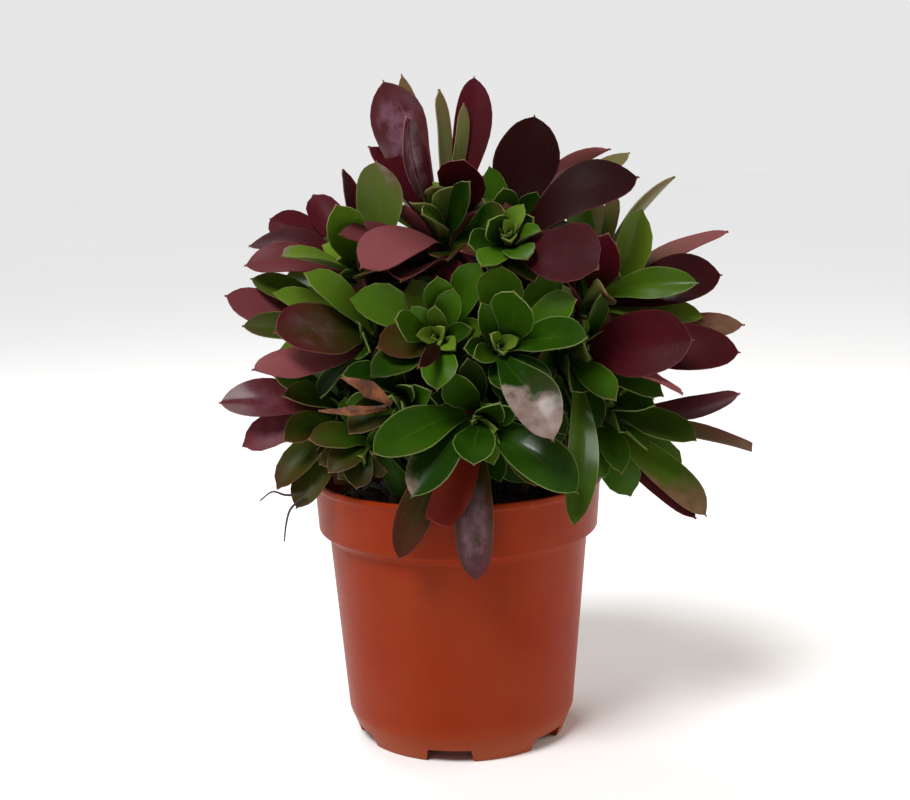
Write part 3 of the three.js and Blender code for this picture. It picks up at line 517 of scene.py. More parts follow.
def frame_round(axis, upright=(0, 0, 1)):
    """Two directions square to the axis and to each other."""
    across = unit(np.cross(upright, axis))
    return across, np.cross(axis, across)


def turned_out(directions, degrees):
    """The direction at this turn between the two."""
    turn = math.radians(degrees)
    return directions[0] * math.cos(turn) + directions[1] * math.sin(turn)


def spiral_leaf(head, age, turn, random, change, shape=LEAF_SHAPE):
    """A leaf placed by the golden angle: young ones are short and stand close round the
    growing tip, old ones are long and lean out past square."""
    axis = unit(head.axis)
    out = turned_out(frame_round(axis), head.turn + turn + SCATTER * (random[0] - 0.5) + change[0])
    lean = YOUNG_LEAN + ADDED_LEAN * age**0.8 + SCATTER * (random[1] - 0.5) + change[1]
    lean = math.radians(lean)
    length = head.reach * (YOUNG_REACH + ADDED_REACH * age**0.6) * (0.9 + 0.2 * random[2]) * change[2]
    root = np.array(head.tip, float) + axis * (-3 - (CORE_LENGTH - 8) * age)
    along = axis * math.cos(lean) + out * math.sin(lean)
    face = axis * math.sin(lean) - out * math.cos(lean)
    tip = root + along * length
    looks = {"red": redness(tip, age, random), "youth": 1 - age, "shade": shade_at(tip)}
    return Leaf(root, tip, face, max(NARROWEST, length / shape), length * LEAF_ARCH, **looks)


def redness(tip, age, random):
    """How red the sun has turned a leaf of the rule."""
    lifted = HEIGHT_SHARE * (tip[2] - DOME_CENTRE[2])
    exposed = math.dist(tip, DOME_CENTRE) - GREEN_RADIUS + lifted
    red = min(1, max(0, exposed / RED_DEPTH)) * (0.6 + 0.7 * random[2]) + 0.12 * random[0]
    red *= min(1, max(0.05, (age - GREEN_AGE) / REDDENING_AGE))
    if tip[0] < OLIVE_LEFT_OF:
        red += OLIVE_RED * min(1, max(0, (OLIVE_BELOW - tip[2]) / OLIVE_DEPTH))
    return red


def inner_leaf(head, at, turn, random):
    """An old leaf on the branch behind the head, at this share of the branch's length."""
    line = bezier(branch_points(head), BRANCH_STEPS + 3)
    step = int(at * BRANCH_STEPS)
    before, here, after = line[step : step + 3]
    axis = unit(after - before)
    out = turned_out(frame_round(axis, (0.3, 0.2, 1)), turn)
    along = unit(out + axis * (0.1 + 0.9 * random[1]))
    length = 22 + 14 * random[2]
    root = here + out * STEMS[head.stem][2] * 0.6
    face = unit(axis - along * (axis @ along))
    # Inner leaves get the darkest painted shade in their colour.
    return Leaf(root, root + along * length, face, length * 0.4, length * LEAF_ARCH, shade=DARKEST)


def trunk_points(stem):
    """The stem's line, from inside the soil to its fork."""
    (x, y), fork, _ = STEMS[stem]
    return [*((x, y, SOIL_LEVEL + height) for height in (-STEM_DEPTH, -8, 2)), fork]


def branch_points(head):
    """The four control points of the branch from the stem's fork to the head's back end."""
    fork = np.array(STEMS[head.stem][1], float)
    axis = unit(head.axis)
    end = np.array(head.tip, float) - axis * (CORE_LENGTH + BUTT_GAP)
    reach = math.dist(fork, end) * 0.45
    rise = np.array((0, 0, 1.0))
    return fork - 2 * rise, fork + reach * rise, end - axis * reach, end


def bezier(points, count):
    """Points along the curve that four control points give."""
    t = np.linspace(0, 1, count)[:, None]
    a, b, c, d = points
    return a * (1 - t) ** 3 + 3 * b * t * (1 - t) ** 2 + 3 * c * t * t * (1 - t) + d * t**3


def catmull_rom(points, count):
    """The centripetal curve through the points, stepped evenly in its own parameter."""
    points = [np.array(p, float) for p in points]
    made = []
    last = len(points) - 1
    for i in range(count):
        at = i / (count - 1) * last
        k = min(int(at), last - 1)
        w = at - k
        p1, p2 = points[k], points[k + 1]
        p0 = points[k - 1] if k > 0 else p1 + (p1 - p2)
        p3 = points[k + 2] if k + 2 <= last else p2 + (p2 - p1)
        d0, d1, d2 = (math.dist(a, b) ** 0.5 for a, b in ((p0, p1), (p1, p2), (p2, p3)))
        t1 = ((p1 - p0) / d0 - (p2 - p0) / (d0 + d1) + (p2 - p1) / d1) * d1
        t2 = ((p2 - p1) / d1 - (p3 - p1) / (d1 + d2) + (p3 - p2) / d2) * d1
        made.append(
            p1 + t1 * w + (-3 * p1 + 3 * p2 - 2 * t1 - t2) * w * w + (2 * p1 - 2 * p2 + t1 + t2) * w**3
        )
    return np.array(made)


def balls():
    """Balls along every stem, branch and core, which leaves of other heads go round."""
    centres, radii, owners = [], [], []

    def along(points, radius, owner):
        centres.extend(points)
        radii.extend([radius] * len(points))
        owners.extend([owner] * len(points))

    for name, (_, _, radius) in STEMS.items():
        along(catmull_rom(trunk_points(name), WOOD_BALLS), radius, "")
    for head in HEADS:
        branch = bezier(branch_points(head), WOOD_BALLS)
        along(branch, STEMS[head.stem][2] * BRANCH_SHARE, "")
        tip = np.array(head.tip, float)
        core = np.linspace(tip - unit(head.axis) * CORE_LENGTH, tip, CORE_BALLS)
        along(core, CORE_RADIUS, head.name)
    return np.array(centres), np.array(radii), np.array(owners)


def in_pot(points):
    """Whether any of the points is in the pot or the soil, or too close to them."""
    radius = np.hypot(points[:, 0], points[:, 1])
    height = points[:, 2]
    mouth = (radius < RIM_RADIUS - 6) & (height > SOIL_LEVEL + 2.5)
    beside = (height < POT_HEIGHT + POT_CLEARANCE) & (radius < RIM_RADIUS + POT_CLEARANCE)
    return bool((beside & ~mouth).any())


class Bush:
    """The leaves placed so far, and whether another stands clear of them."""

    def __init__(self):
        self.centres, self.radii, self.owners = balls()
        self.placed = {head.name: [] for head in HEADS}
        self.placed[INNER] = []
        self.middles, self.sizes, self.heads = [], [], []
        self.whole, self.outer = [], []

    def stands_clear(self, name, leaf, whole, outer):
        """Whether the leaf misses the pot, other heads' wood and every leaf placed so far."""
        points = leaf.spread()
        if in_pot(points):
            return False
        far = ((points[:, None] - self.centres[None]) ** 2).sum(-1)
        if ((far < (self.radii + 1) ** 2) & (self.owners != name)).any():
            return False
        if not self.middles:
            return True
        middle = leaf.point(0.5, 0, 0)
        size = (leaf.length + leaf.wide) / 2
        gaps = np.sqrt(((np.array(self.middles) - middle) ** 2).sum(-1))
        near = np.nonzero(gaps <= np.array(self.sizes) + size)[0]
        for k in near:
            mine, theirs = (outer, self.outer) if self.heads[k] == name else (whole, self.whole)
            if mine.overlap(theirs[k]):
                return False
        return True

    def add(self, name, shapes):
        """Places the first of these shapes that stands clear, if any does."""
        for leaf in shapes:
            whole = leaf.solid(LEAF_CLEARANCE)
            outer = leaf.solid(0, skip=3)
            if self.stands_clear(name, leaf, whole, outer):
                self.placed[name].append(leaf)
                self.middles.append(leaf.point(0.5, 0, 0))
                self.sizes.append((leaf.length + leaf.wide) / 2)
                self.heads.append(name)
                self.whole.append(whole)
                self.outer.append(outer)
                return


def place_leaves(fill_rounds):
    """The leaves of the solids, in their order, and then small ones in the gaps."""
    bush = Bush()
    by_name = {head.name: head for head in HEADS}

    def add_grown(table):
        for name, rows in table.items():
            for row in rows:
                bush.add(name, (grown_leaf(by_name[name], row, shift) for shift in GROWN_SHIFTS))

    add_grown(GROWN)
    draws = [seeded(RULE_SEED + RULE_SEED_STEP * n) for n in range(len(HEADS))]
    for i in range(max(head.leaves for head in HEADS)):
        for head, draw in zip(HEADS, draws):
            if i >= head.leaves:
                continue
            random = [next(draw) for _ in range(3)]
            age = (i + 0.5) / head.leaves
            shapes = (spiral_leaf(head, age, i * GOLDEN_TURN, random, c) for c in RULE_CHANGES)
            bush.add(head.name, shapes)
    add_grown(GAP_LEAVES)
    for i in range(fill_rounds):
        age = FILL_AGE + (1 - FILL_AGE) * ((i * GOLDEN_SHARE) % 1)
        turn = FILL_TURN + i * GOLDEN_TURN
        for head, draw in zip(HEADS, draws):
            random = [next(draw) for _ in range(3)]
            shapes = (spiral_leaf(head, age, turn, random, c, FILL_SHAPE) for c in FILL_CHANGES)
            bush.add(head.name, shapes)
    for head, draw in zip(HEADS, draws):
        for i in range(INNER_LEAVES):
            random = [next(draw) for _ in range(3)]
            at = INNER_START + INNER_STRETCH * (i + random[0]) / INNER_LEAVES
            shapes = (inner_leaf(head, at, i * GOLDEN_TURN + c, random) for c in INNER_TURNS)
            bush.add(INNER, shapes)
    return bush


# ---------------------------------------------------------------- what a user would change
def length_setting(name, description, millimetres):
    return FloatProperty(
        name=name, description=description, default=millimetres * MM, unit="LENGTH"
    )


def colour_setting(name, description, default):
    return FloatVectorProperty(
        name=name, description=description, default=default, subtype="COLOR"
    )


class PotSettings(bpy.types.PropertyGroup):
    """The nursery pot."""

    height: length_setting("Height", "From the foot to the lip", POT_HEIGHT)
    rim_radius: length_setting("Rim radius", "Outside of the lip", RIM_RADIUS)
    edge_rounding: length_setting("Edge rounding", "How far each moulded corner is rounded", 0.7)
    colour: colour_setting("Plastic", "Colour of the plastic", (0.225, 0.017, 0.0004))
    worn_colour: colour_setting("Scuffs", "Colour of dusty edges and scuffs", (0.44, 0.15, 0.065))


class SoilSettings(bpy.types.PropertyGroup):
    """The potting soil."""

    grain: length_setting("Grain", "Size of the grid that the soil's surface is made on", 1.3)
    crumbs: IntProperty(
        name="Crumbs",
        description="Loose crumbs on the surface",
        default=340,
    )
    colour: colour_setting("Soil", "Colour of the damp soil", (0.022, 0.013, 0.008))
    dry_colour: colour_setting("Dry crumbs", "Colour of dry crumbs and fibres", (0.11, 0.062, 0.035))


class StemSettings(bpy.types.PropertyGroup):
    """The woody stems."""

    grain: length_setting("Grain", "Size of the grid that the bark is made on", 0.8)
    bark_relief: length_setting("Bark relief", "Height of the bark's lumps", 0.5)
    colour: colour_setting("Bark", "Colour of the bark", (0.13, 0.075, 0.045))
    scar_colour: colour_setting("Leaf scars", "Colour of the scars of fallen leaves", (0.30, 0.21, 0.14))


class LeafSettings(bpy.types.PropertyGroup):
    """The leafy heads."""

    fill_rounds: IntProperty(
        name="Fill rounds",
        description="Rounds of small leaves tried in the gaps",
        default=46,
    )
    bud_leaves: IntProperty(
        name="Bud leaves",
        description="Tiny leaves round each growing tip",
        default=5,
    )
    # Deep and bright green are mixed partly at random and partly as painted shade and light: low and inner
    # leaves take the deep green of shade.
    deep_green: colour_setting("Deep green", "Leaves inside the dome", (0.008, 0.030, 0.0010))
    bright_green: colour_setting("Bright green", "Leaves in the open", (0.046, 0.125, 0.0035))
    young_green: colour_setting("Young green", "Growing tips and leaf stalks", (0.165, 0.265, 0.022))
    burgundy: colour_setting("Burgundy", "Upper faces that the sun has turned", (0.060, 0.0044, 0.0085))
    dark_burgundy: colour_setting("Dark burgundy", "The darkest of those faces", (0.015, 0.0012, 0.0012))
    under_rose: colour_setting("Rose underside", "Undersides of burgundy leaves", (0.21, 0.058, 0.062))
    under_olive: colour_setting("Olive underside", "Undersides of green leaves", (0.085, 0.13, 0.022))


class StageSettings(bpy.types.PropertyGroup):
    """Floor, lights and camera."""

    floor_colour: colour_setting("Floor", "Colour of the floor and the room", (0.95, 0.95, 0.95))
    room_light: FloatProperty(
        name="Room light",
        description="Strength of the light that comes from all round",
        default=0.22,
    )
    camera_place: FloatVectorProperty(
        name="Camera",
        description="Where the camera stands",
        default=(-0.0004, -0.642, 0.256),
        subtype="XYZ",
        unit="LENGTH",
    )
    camera_dip: FloatProperty(
        name="Dip",
        description="How far the camera looks down",
        default=math.radians(10.21),
        subtype="ANGLE",
    )
    camera_roll: FloatProperty(
        name="Roll",
        description="How far the camera is turned about its own line of sight",
        default=math.radians(-1.11),
        subtype="ANGLE",
    )
    lens: FloatProperty(
        name="Lens",
        description="Focal length in millimetres on a 36 mm sensor",
        default=62.43,
    )


# ---------------------------------------------------------------- modelling helpers
def deselect():
    bpy.ops.object.select_all(action="DESELECT")


def only(piece):
    """Makes this the one selected and active object."""
    deselect()
    piece.select_set(True)
    bpy.context.view_layer.objects.active = piece
    return piece


def edit(piece):
    only(piece)
    bpy.ops.object.mode_set(mode="EDIT")
    bpy.ops.mesh.select_mode(type="VERT")


def leave_edit():
    bpy.ops.object.mode_set(mode="OBJECT")


def select_where(piece, wanted):
    """Goes into edit mode with only the vertices selected whose place is wanted."""
    edit(piece)
    bpy.ops.mesh.select_all(action="DESELECT")
    leave_edit()
    for vertex in piece.data.vertices:
        vertex.select = wanted(vertex.co)
    edit(piece)


def apply_place(piece):
    only(piece)
    bpy.ops.object.transform_apply(location=True, rotation=True, scale=True)


def modify(piece, kind, **settings):
    """Adds a modifier with these settings and applies it."""
    only(piece)
    made = piece.modifiers.new(kind.title(), kind)
    for name, value in settings.items():
        setattr(made, name, value)
    bpy.ops.object.modifier_apply(modifier=made.name)


def remove(piece):
    bpy.data.objects.remove(piece, do_unlink=True)


def cut(piece, cutter):
    modify(piece, "BOOLEAN", operation="DIFFERENCE", solver="EXACT", object=cutter)
    remove(cutter)


def join(pieces, name):
    """The pieces as one object."""
    deselect()
    for piece in pieces:
        piece.select_set(True)
    bpy.context.view_layer.objects.active = pieces[0]
    if len(pieces) > 1:
        bpy.ops.object.join()
    pieces[0].name = name
    return pieces[0]


def coordinates(mesh):
    flat = np.empty(len(mesh.vertices) * 3)
    mesh.vertices.foreach_get("co", flat)
    return flat.reshape(-1, 3)


def set_coordinates(mesh, points):
    mesh.vertices.foreach_set("co", np.asarray(points, float).ravel())
    mesh.update()


def finish_piece(piece, material, *, replaces=(), angle=40):
    """Shades a finished piece, gives it its material and ties it to the frame."""
    only(piece)
    bpy.ops.object.shade_smooth_by_angle(angle=math.radians(angle))
    piece.data.materials.clear()
    piece.data.materials.append(material)
    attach(piece, "root")
    if replaces:
        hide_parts(*replaces)
    return piece


def softened(profile, cut_back, steps=3):
    """The profile with each corner between its ends rounded over this distance."""
    points = [np.array(p, float) for p in profile]
    made = [points[0]]
    for before, corner, after in zip(points, points[1:], points[2:]):
        back, on = before - corner, after - corner
        near = min(cut_back, 0.45 * np.linalg.norm(back), 0.45 * np.linalg.norm(on))
        start = corner + unit(back) * near
        end = corner + unit(on) * near
        for k in range(steps + 1):
            t = k / steps
            made.append(start * (1 - t) ** 2 + corner * 2 * t * (1 - t) + end * t * t)
    made.append(points[-1])
    return made


def turned(name, profile, sides):
    """A closed body turned round the Z axis.

    The profile is (radius, height) in metres and starts and ends on the axis. The first
    disc is a filled circle, and each further ring is extruded from the last and resized.
    """
    deselect()
    radius, height = profile[1]
    bpy.ops.mesh.primitive_circle_add(
        vertices=sides, radius=radius, fill_type="TRIFAN", location=(0, 0, height)
    )
    piece = bpy.context.object
    piece.name = name
    edit(piece)
    bpy.ops.mesh.select_all(action="DESELECT")
    bpy.ops.mesh.select_non_manifold()
    for (r0, z0), (r1, z1) in zip(profile[1:], profile[2:-1]):
        bpy.ops.mesh.extrude_region_move(TRANSFORM_OT_translate={"value": (0, 0, z1 - z0)})
        grow = r1 / r0
        bpy.ops.transform.resize(value=(grow, grow, 1), center_override=(0, 0, z1))
    bpy.ops.mesh.extrude_region_move(
        TRANSFORM_OT_translate={"value": (0, 0, profile[-1][1] - profile[-2][1])}
    )
    bpy.ops.mesh.merge(type="CENTER")
    bpy.ops.mesh.select_all(action="SELECT")
    bpy.ops.mesh.normals_make_consistent(inside=False)
    leave_edit()
    apply_place(piece)
    return piece


def tube(name, points, radii):
    """A closed round stick through these points, in millimetres."""
    curve = bpy.data.curves.new(name, "CURVE")
    curve.dimensions = "3D"
    curve.bevel_depth = MM
    curve.bevel_resolution = 3
    curve.use_fill_caps = True
    spline = curve.splines.new("POLY")
    spline.points.add(len(points) - 1)
    for made, point, radius in zip(spline.points, points, radii):
        made.co = (*(Vector(point) * MM), 1)
        made.radius = radius
    piece = bpy.data.objects.new(name, curve)
    bpy.context.collection.objects.link(piece)
    only(piece)
    bpy.ops.object.convert(target="MESH")
    return piece


# ---------------------------------------------------------------- materials
class Value:
    """A socket that is written with in arithmetic, each sign adding its Math node."""

    def __init__(self, finish, socket):
        self.finish = finish
        self.socket = socket

    def math(self, operation, *others):
        return self.finish.node(
            "ShaderNodeMath", {"operation": operation}, dict(enumerate((self, *others)))
        )

    def __add__(self, other):
        return self.math("ADD", other)

    def __sub__(self, other):
        return self.math("SUBTRACT", other)

    def __rsub__(self, other):
        return (self * -1) + other

    def __mul__(self, other):
        return self.math("MULTIPLY", other)

    def __truediv__(self, other):
        return self.math("DIVIDE", other)

    __radd__ = __add__
    __rmul__ = __mul__

    def absolute(self):
        return self.math("ABSOLUTE")

    def clamped(self):
        return self.math("MAXIMUM", 0).math("MINIMUM", 1)

    def between(self, low, high):
        """0 below low, 1 above high, and a smooth step between them."""
        return self.finish.node(
            "ShaderNodeMapRange",
            {"interpolation_type": "SMOOTHSTEP"},
            {"Value": self, "From Min": low, "From Max": high},
        )


class Finish:
    """A material whose nodes are added one by one."""

    def __init__(self, name):
        self.material = bpy.data.materials.new(name)
        self.material.use_nodes = True
        self.tree = self.material.node_tree
        self.tree.nodes.clear()

    def node(self, kind, settings=None, inputs=None, output=0):
        """A node with its settings, then the values or links of its sockets."""
        made = self.tree.nodes.new(kind)
        for name, value in (settings or {}).items():
            setattr(made, name, value)
        for name, value in (inputs or {}).items():
            if isinstance(value, Value):
                self.tree.links.new(value.socket, made.inputs[name])
            else:
                made.inputs[name].default_value = value
        return Value(self, made.outputs[output])

    def mix(self, factor, first, second):
        """A colour between two others."""
        return self.node(
            "ShaderNodeMix",
            {"data_type": "RGBA"},
            {0: factor, 6: colour_of(first), 7: colour_of(second)},
            output=2,
        )

    def place(self):
        return self.node("ShaderNodeTexCoord", output="Object")

    def noise(self, scale, detail=3, place=None, roughness=0.5):
        return self.node(
            "ShaderNodeTexNoise",
            inputs={
                "Vector": place or self.place(),
                "Scale": scale,
                "Detail": detail,
                "Roughness": roughness,
            },
        )

    def cells(self, scale, place=None, feature="F1"):
        return self.node(
            "ShaderNodeTexVoronoi",
            {"feature": feature},
            {"Vector": place or self.place(), "Scale": scale},
        )

    def attribute(self, name):
        return self.node("ShaderNodeAttribute", {"attribute_name": name}, output="Fac")

    def axes(self, place):
        """The three numbers of a place."""
        made = self.node("ShaderNodeSeparateXYZ", inputs={0: place})
        return [Value(self, socket) for socket in made.socket.node.outputs]

    def stretched(self, place, scale):
        return self.node("ShaderNodeMapping", inputs={"Vector": place, "Scale": scale})

    def bumped(self, height, distance, strength=1.0):
        return self.node(
            "ShaderNodeBump",
            inputs={"Height": height, "Distance": distance, "Strength": strength},
        )

    def principled(self, **inputs):
        """Ends the material in one Principled shader with these sockets."""
        named = {name.replace("_", " "): value for name, value in inputs.items()}
        shader = self.node("ShaderNodeBsdfPrincipled", inputs=named)
        end = self.tree.nodes.new("ShaderNodeOutputMaterial")
        self.tree.links.new(shader.socket, end.inputs["Surface"])
        return self.material


def colour_of(value):
    """A colour with its alpha, or the link that it is."""
    return value if isinstance(value, Value) else (*value, 1.0)


# What a leaf's own attributes tell its finish, each from 0 to about 1.
LOOKS = ("red", "youth", "chance", "dry", "rose", "gloss", "torn")

# Fixed colours of the finishes.
BRICK = (0.125, 0.011, 0.005)
PALE_MARGIN = (0.30, 0.36, 0.12)
BROWN_TIP = (0.16, 0.075, 0.03)
DRIED_DARK, DRIED_TAN, BLEACHED = (0.085, 0.040, 0.024), (0.20, 0.115, 0.065), (0.38, 0.29, 0.265)
# Tint of the painted sheen on glossy red leaves.
PAINTED_SHEEN_TINT = (0.38, 0.20, 0.30)
DUST = (0.35, 0.30, 0.24)
POT_SPECK = (0.09, 0.03, 0.015)
BARK_CRACK = (0.035, 0.02, 0.012)
DEAD_LEAF = (0.07, 0.018, 0.006), (0.32, 0.10, 0.028)
BLACK_STALK = (0.006, 0.005, 0.005), (0.03, 0.02, 0.016)


def leaf_finish(name, settings, ruddy):
    """Waxy leaf: green to burgundy on top, rose or olive below, with a pale thin margin."""
    made = Finish(name)
    sheet = made.node("ShaderNodeUVMap", {"uv_map": "UVMap"})
    across_uv, along, _ = made.axes(sheet)
    across = (across_uv * 2 - 1).absolute()
    red, youth, chance, dry, rose, gloss, torn = (made.attribute(name) for name in LOOKS)
    under = made.attribute("under").math("MAXIMUM", rose)
    patches = made.noise(70, 2)
    grain = made.noise(900, 2)
    streaks = made.noise(1, 3, made.stretched(sheet, (22, 3, 1)))

    turned_red = red * 1.7 - 0.55 + ruddy + (along - 0.5) * 0.8 + across * 0.15
    turned_red = (turned_red + (patches - 0.5) * 0.6 + (streaks - 0.5) * 0.3).clamped()
    # Deep to bright green is partly random tone and partly painted shade and light: each leaf's random
    # draw also holds the painted shade of low and inner leaves, which darkens its greens and its burgundy
    # too.
    tone_and_painted_light = (patches * 0.7 + chance * 0.8 - 0.3).clamped()
    green = made.mix(tone_and_painted_light, settings.deep_green, settings.bright_green)
    stalk = (1 - along.between(0.02, 0.3)) * 0.3
    fresh = (youth.between(0.7, 1.0) * 0.8 + stalk + (chance - 0.5) * 0.15).clamped()
    green = made.mix(fresh, green, settings.young_green)
    darkened = ((red - 1) * 2.4 + patches * 0.7 + chance * 0.3 - 0.3).clamped()
    wine = made.mix(darkened, settings.burgundy, settings.dark_burgundy)
    wine = made.mix(torn, wine, BRICK)
    upper = made.mix(turned_red, green, wine)
    below = made.mix((turned_red * 1.2 + 0.05).clamped(), settings.under_olive, settings.under_rose)
    below = made.mix(stalk, below, settings.young_green)
    colour = made.mix(under, upper, below)

    rib = (1 - across.between(0.0, 0.07)) * (1 - along.between(0.6, 0.85)) * (1 - turned_red) * 0.1
    colour = made.mix(rib, colour, settings.young_green)
    edge_colour = made.mix(turned_red, PALE_MARGIN, settings.under_rose)
    margin = across.between(0.93, 0.99) * along.between(0.1, 0.35) * (0.4 - turned_red * 0.3)
    colour = made.mix(margin, colour, edge_colour)
    browned = (along.between(0.975, 1.0) * (0.3 + chance * 0.5)).clamped()
    colour = made.mix(browned, colour, BROWN_TIP)
    blotches = made.noise(160, 3)
    pale = (blotches * 1.5 + streaks * 0.3 - 0.45).clamped()
    bleached = made.mix((gloss * 2).clamped(), DRIED_TAN, BLEACHED)
    papery = made.mix(pale, DRIED_DARK, bleached)
    ragged = (patches - 0.5) * 0.35 + (blotches - 0.5) * 0.3 + across_uv * 0.3 - 0.15
    dried = ((along - 1 + dry + ragged) * (4 + gloss * 8)).clamped()
    dried = dried * dry.between(0.0, 0.05)
    colour = made.mix(dried * 0.88, colour, papery)
    # Painted sheen: a lilac-silver highlight painted into the colour of glossy red leaves, in streaks on
    # the upper middle of the blade.
    painted_sheen_band = along.between(0.35, 0.6) * (1 - along.between(0.78, 0.95)) * (1 - across.between(0.4, 0.9))
    painted_sheen = (gloss * painted_sheen_band * turned_red * (streaks * 0.6 + blotches * 3 - 1.5)).clamped()
    colour = made.mix(painted_sheen * 0.5, colour, PAINTED_SHEEN_TINT)
    dust = made.cells(1100).between(0.16, 0.1) * blotches.between(0.5, 0.65) * 0.2
    colour = made.mix(dust, colour, DUST)

    veins = made.noise(1, 2, made.stretched(sheet, (30, 4, 1)))
    relief = grain * 0.12 + veins * 0.5 + patches * 1.5
    rough = 0.4 + under * 0.1 + darkened * turned_red * 0.2 - gloss * 0.1
    rough = rough + (patches - 0.5) * 0.3 + (streaks - 0.5) * 0.15
    return made.principled(
        Base_Color=colour,
        Roughness=rough.clamped(),
        Specular_IOR_Level=0.06,
        Coat_Weight=(0.06 + gloss * 0.5 + (chance - 0.6) * 0.25).clamped(),
        Coat_Roughness=0.17,
        Normal=made.bumped(relief, 0.3 * MM, 0.4),
    )


def pot_finish(settings):
    """Satin plastic, dusty on its edges, with a few scuffs."""
    made = Finish("terracotta_plastic")
    place = made.place()
    _, _, height = made.axes(place)
    cloud = made.noise(28, 3, place)
    fine = made.noise(1400, 2, place)
    pores = made.noise(320, 2, place)
    scratches = made.noise(1, 4, made.stretched(place, (900, 900, 60)))
    dust = made.noise(60, 5, place, 0.7)
    scuffed = scratches.between(0.70, 0.78) * dust.between(0.52, 0.7) * 0.5
    low = 1 - (height / (POT_HEIGHT * MM)).between(0.0, 0.16)
    faded = (low * 0.28 + (cloud - 0.5) * 0.25 + 0.06 + scuffed).clamped()
    colour = made.mix(faded, settings.colour, settings.worn_colour)
    specks = made.cells(130, place).between(0.035, 0.02) * 0.5
    colour = made.mix(specks, colour, POT_SPECK)
    rough = (0.40 + (cloud - 0.5) * 0.18 + (pores - 0.5) * 0.12 + scuffed * 0.4).clamped()
    return made.principled(
        Base_Color=colour,
        Roughness=rough,
        Specular_IOR_Level=0.08,
        Normal=made.bumped(fine * 0.3 + pores * 0.7, 0.12 * MM, 0.35),
    )


def soil_finish(settings):
    """Damp dark peat with dry crumbs."""
    made = Finish("damp_peat")
    place = made.place()
    clumps = made.noise(220, 4, place)
    grit = made.noise(1500, 3, place)
    dry = (made.cells(420, place).between(0.28, 0.12) * clumps.between(0.45, 0.7)).clamped()
    colour = made.mix((dry * 0.8 + (grit - 0.5) * 0.2).clamped(), settings.colour, settings.dry_colour)
    return made.principled(
        Base_Color=colour,
        Roughness=(0.86 + (grit - 0.5) * 0.2).clamped(),
        Normal=made.bumped(clumps * 0.6 + grit * 0.4, 0.8 * MM, 0.8),
    )


def bark_finish(settings):
    """Grey-brown bark with the pale scars of fallen leaves."""
    made = Finish("leaf_scarred_bark")
    place = made.place()
    flat = made.stretched(place, (1, 1, 1.9))
    scars = made.cells(330, flat)
    rims = made.cells(330, flat, "DISTANCE_TO_EDGE")
    cloud = made.noise(160, 3, place)
    fibre = made.noise(1, 3, made.stretched(place, (1500, 1500, 240)))
    pale = ((1 - scars.between(0.18, 0.42)) * 0.55 + (cloud - 0.5) * 0.5).clamped()
    colour = made.mix(pale, settings.colour, settings.scar_colour)
    crack = 1 - rims.between(0.0, 0.09)
    colour = made.mix(crack * 0.6, colour, BARK_CRACK)
    return made.principled(
        Base_Color=colour,
        Roughness=(0.72 + (fibre - 0.5) * 0.25).clamped(),
        Normal=made.bumped(fibre * 0.3 - crack * 0.6 + cloud * 0.4, 0.5 * MM, 0.8),
    )


def dry_finish(name, dark, light):
    """Dead and papery."""
    made = Finish(name)
    place = made.place()
    cloud = made.noise(170, 4, place)
    fibre = made.noise(900, 2, place)
    colour = made.mix(cloud.between(0.35, 0.7), dark, light)
    return made.principled(
        Base_Color=colour,
        Roughness=(0.62 + (fibre - 0.5) * 0.3).clamped(),
        Normal=made.bumped(fibre + cloud, 0.3 * MM, 0.7),
    )


def floor_finish(settings):
    """Matt and pale, with a faint haze."""
    made = Finish("pale_floor")
    haze = made.noise(3, 2)
    pale = tuple(0.97 * value for value in settings.floor_colour)
    return made.principled(Base_Color=made.mix(haze, settings.floor_colour, pale), Roughness=0.75)


# ---------------------------------------------------------------- pot and soil
def pot_inside(rim, height):
    """From the lip down to the floor, as radius and height in metres."""
    return [
        (rim - 2 * MM, height),
        (rim - 3.6 * MM, height - (BAND_HEIGHT - 5) * MM),
        ((WALL_TOP_RADIUS - WALL) * MM, height - (BAND_HEIGHT - 2) * MM),
        ((WALL_FOOT_RADIUS - WALL) * MM, FOOT_HEIGHT * MM),
        ((WALL_FOOT_RADIUS - WALL - 2) * MM, FLOOR_TOP * MM),
    ]


def pot_outside(rim, height):
    """From the foot ring up to the lip."""
    band = height - BAND_HEIGHT * MM
    return [
        (FOOT_RADIUS * MM, 0),
        (WALL_FOOT_RADIUS * MM, FOOT_HEIGHT * MM),
        (WALL_TOP_RADIUS * MM, band),
        (rim - 2 * MM, band + 3.5 * MM),
        (rim - 0.8 * MM, height - 3 * MM),
        (rim, height - 2 * MM),
        (rim - 0.4 * MM, height),
    ]


def pot_underside():
    """From the middle pad out to the foot ring."""
    return [
        (0, 0),
        (CENTRE_PAD_RADIUS * MM, 0),
        ((CENTRE_PAD_RADIUS + 1) * MM, FLOOR_UNDERSIDE * MM),
        ((FOOT_RADIUS - 3) * MM, FLOOR_UNDERSIDE * MM),
        ((FOOT_RADIUS - 2.6) * MM, 0),
    ]


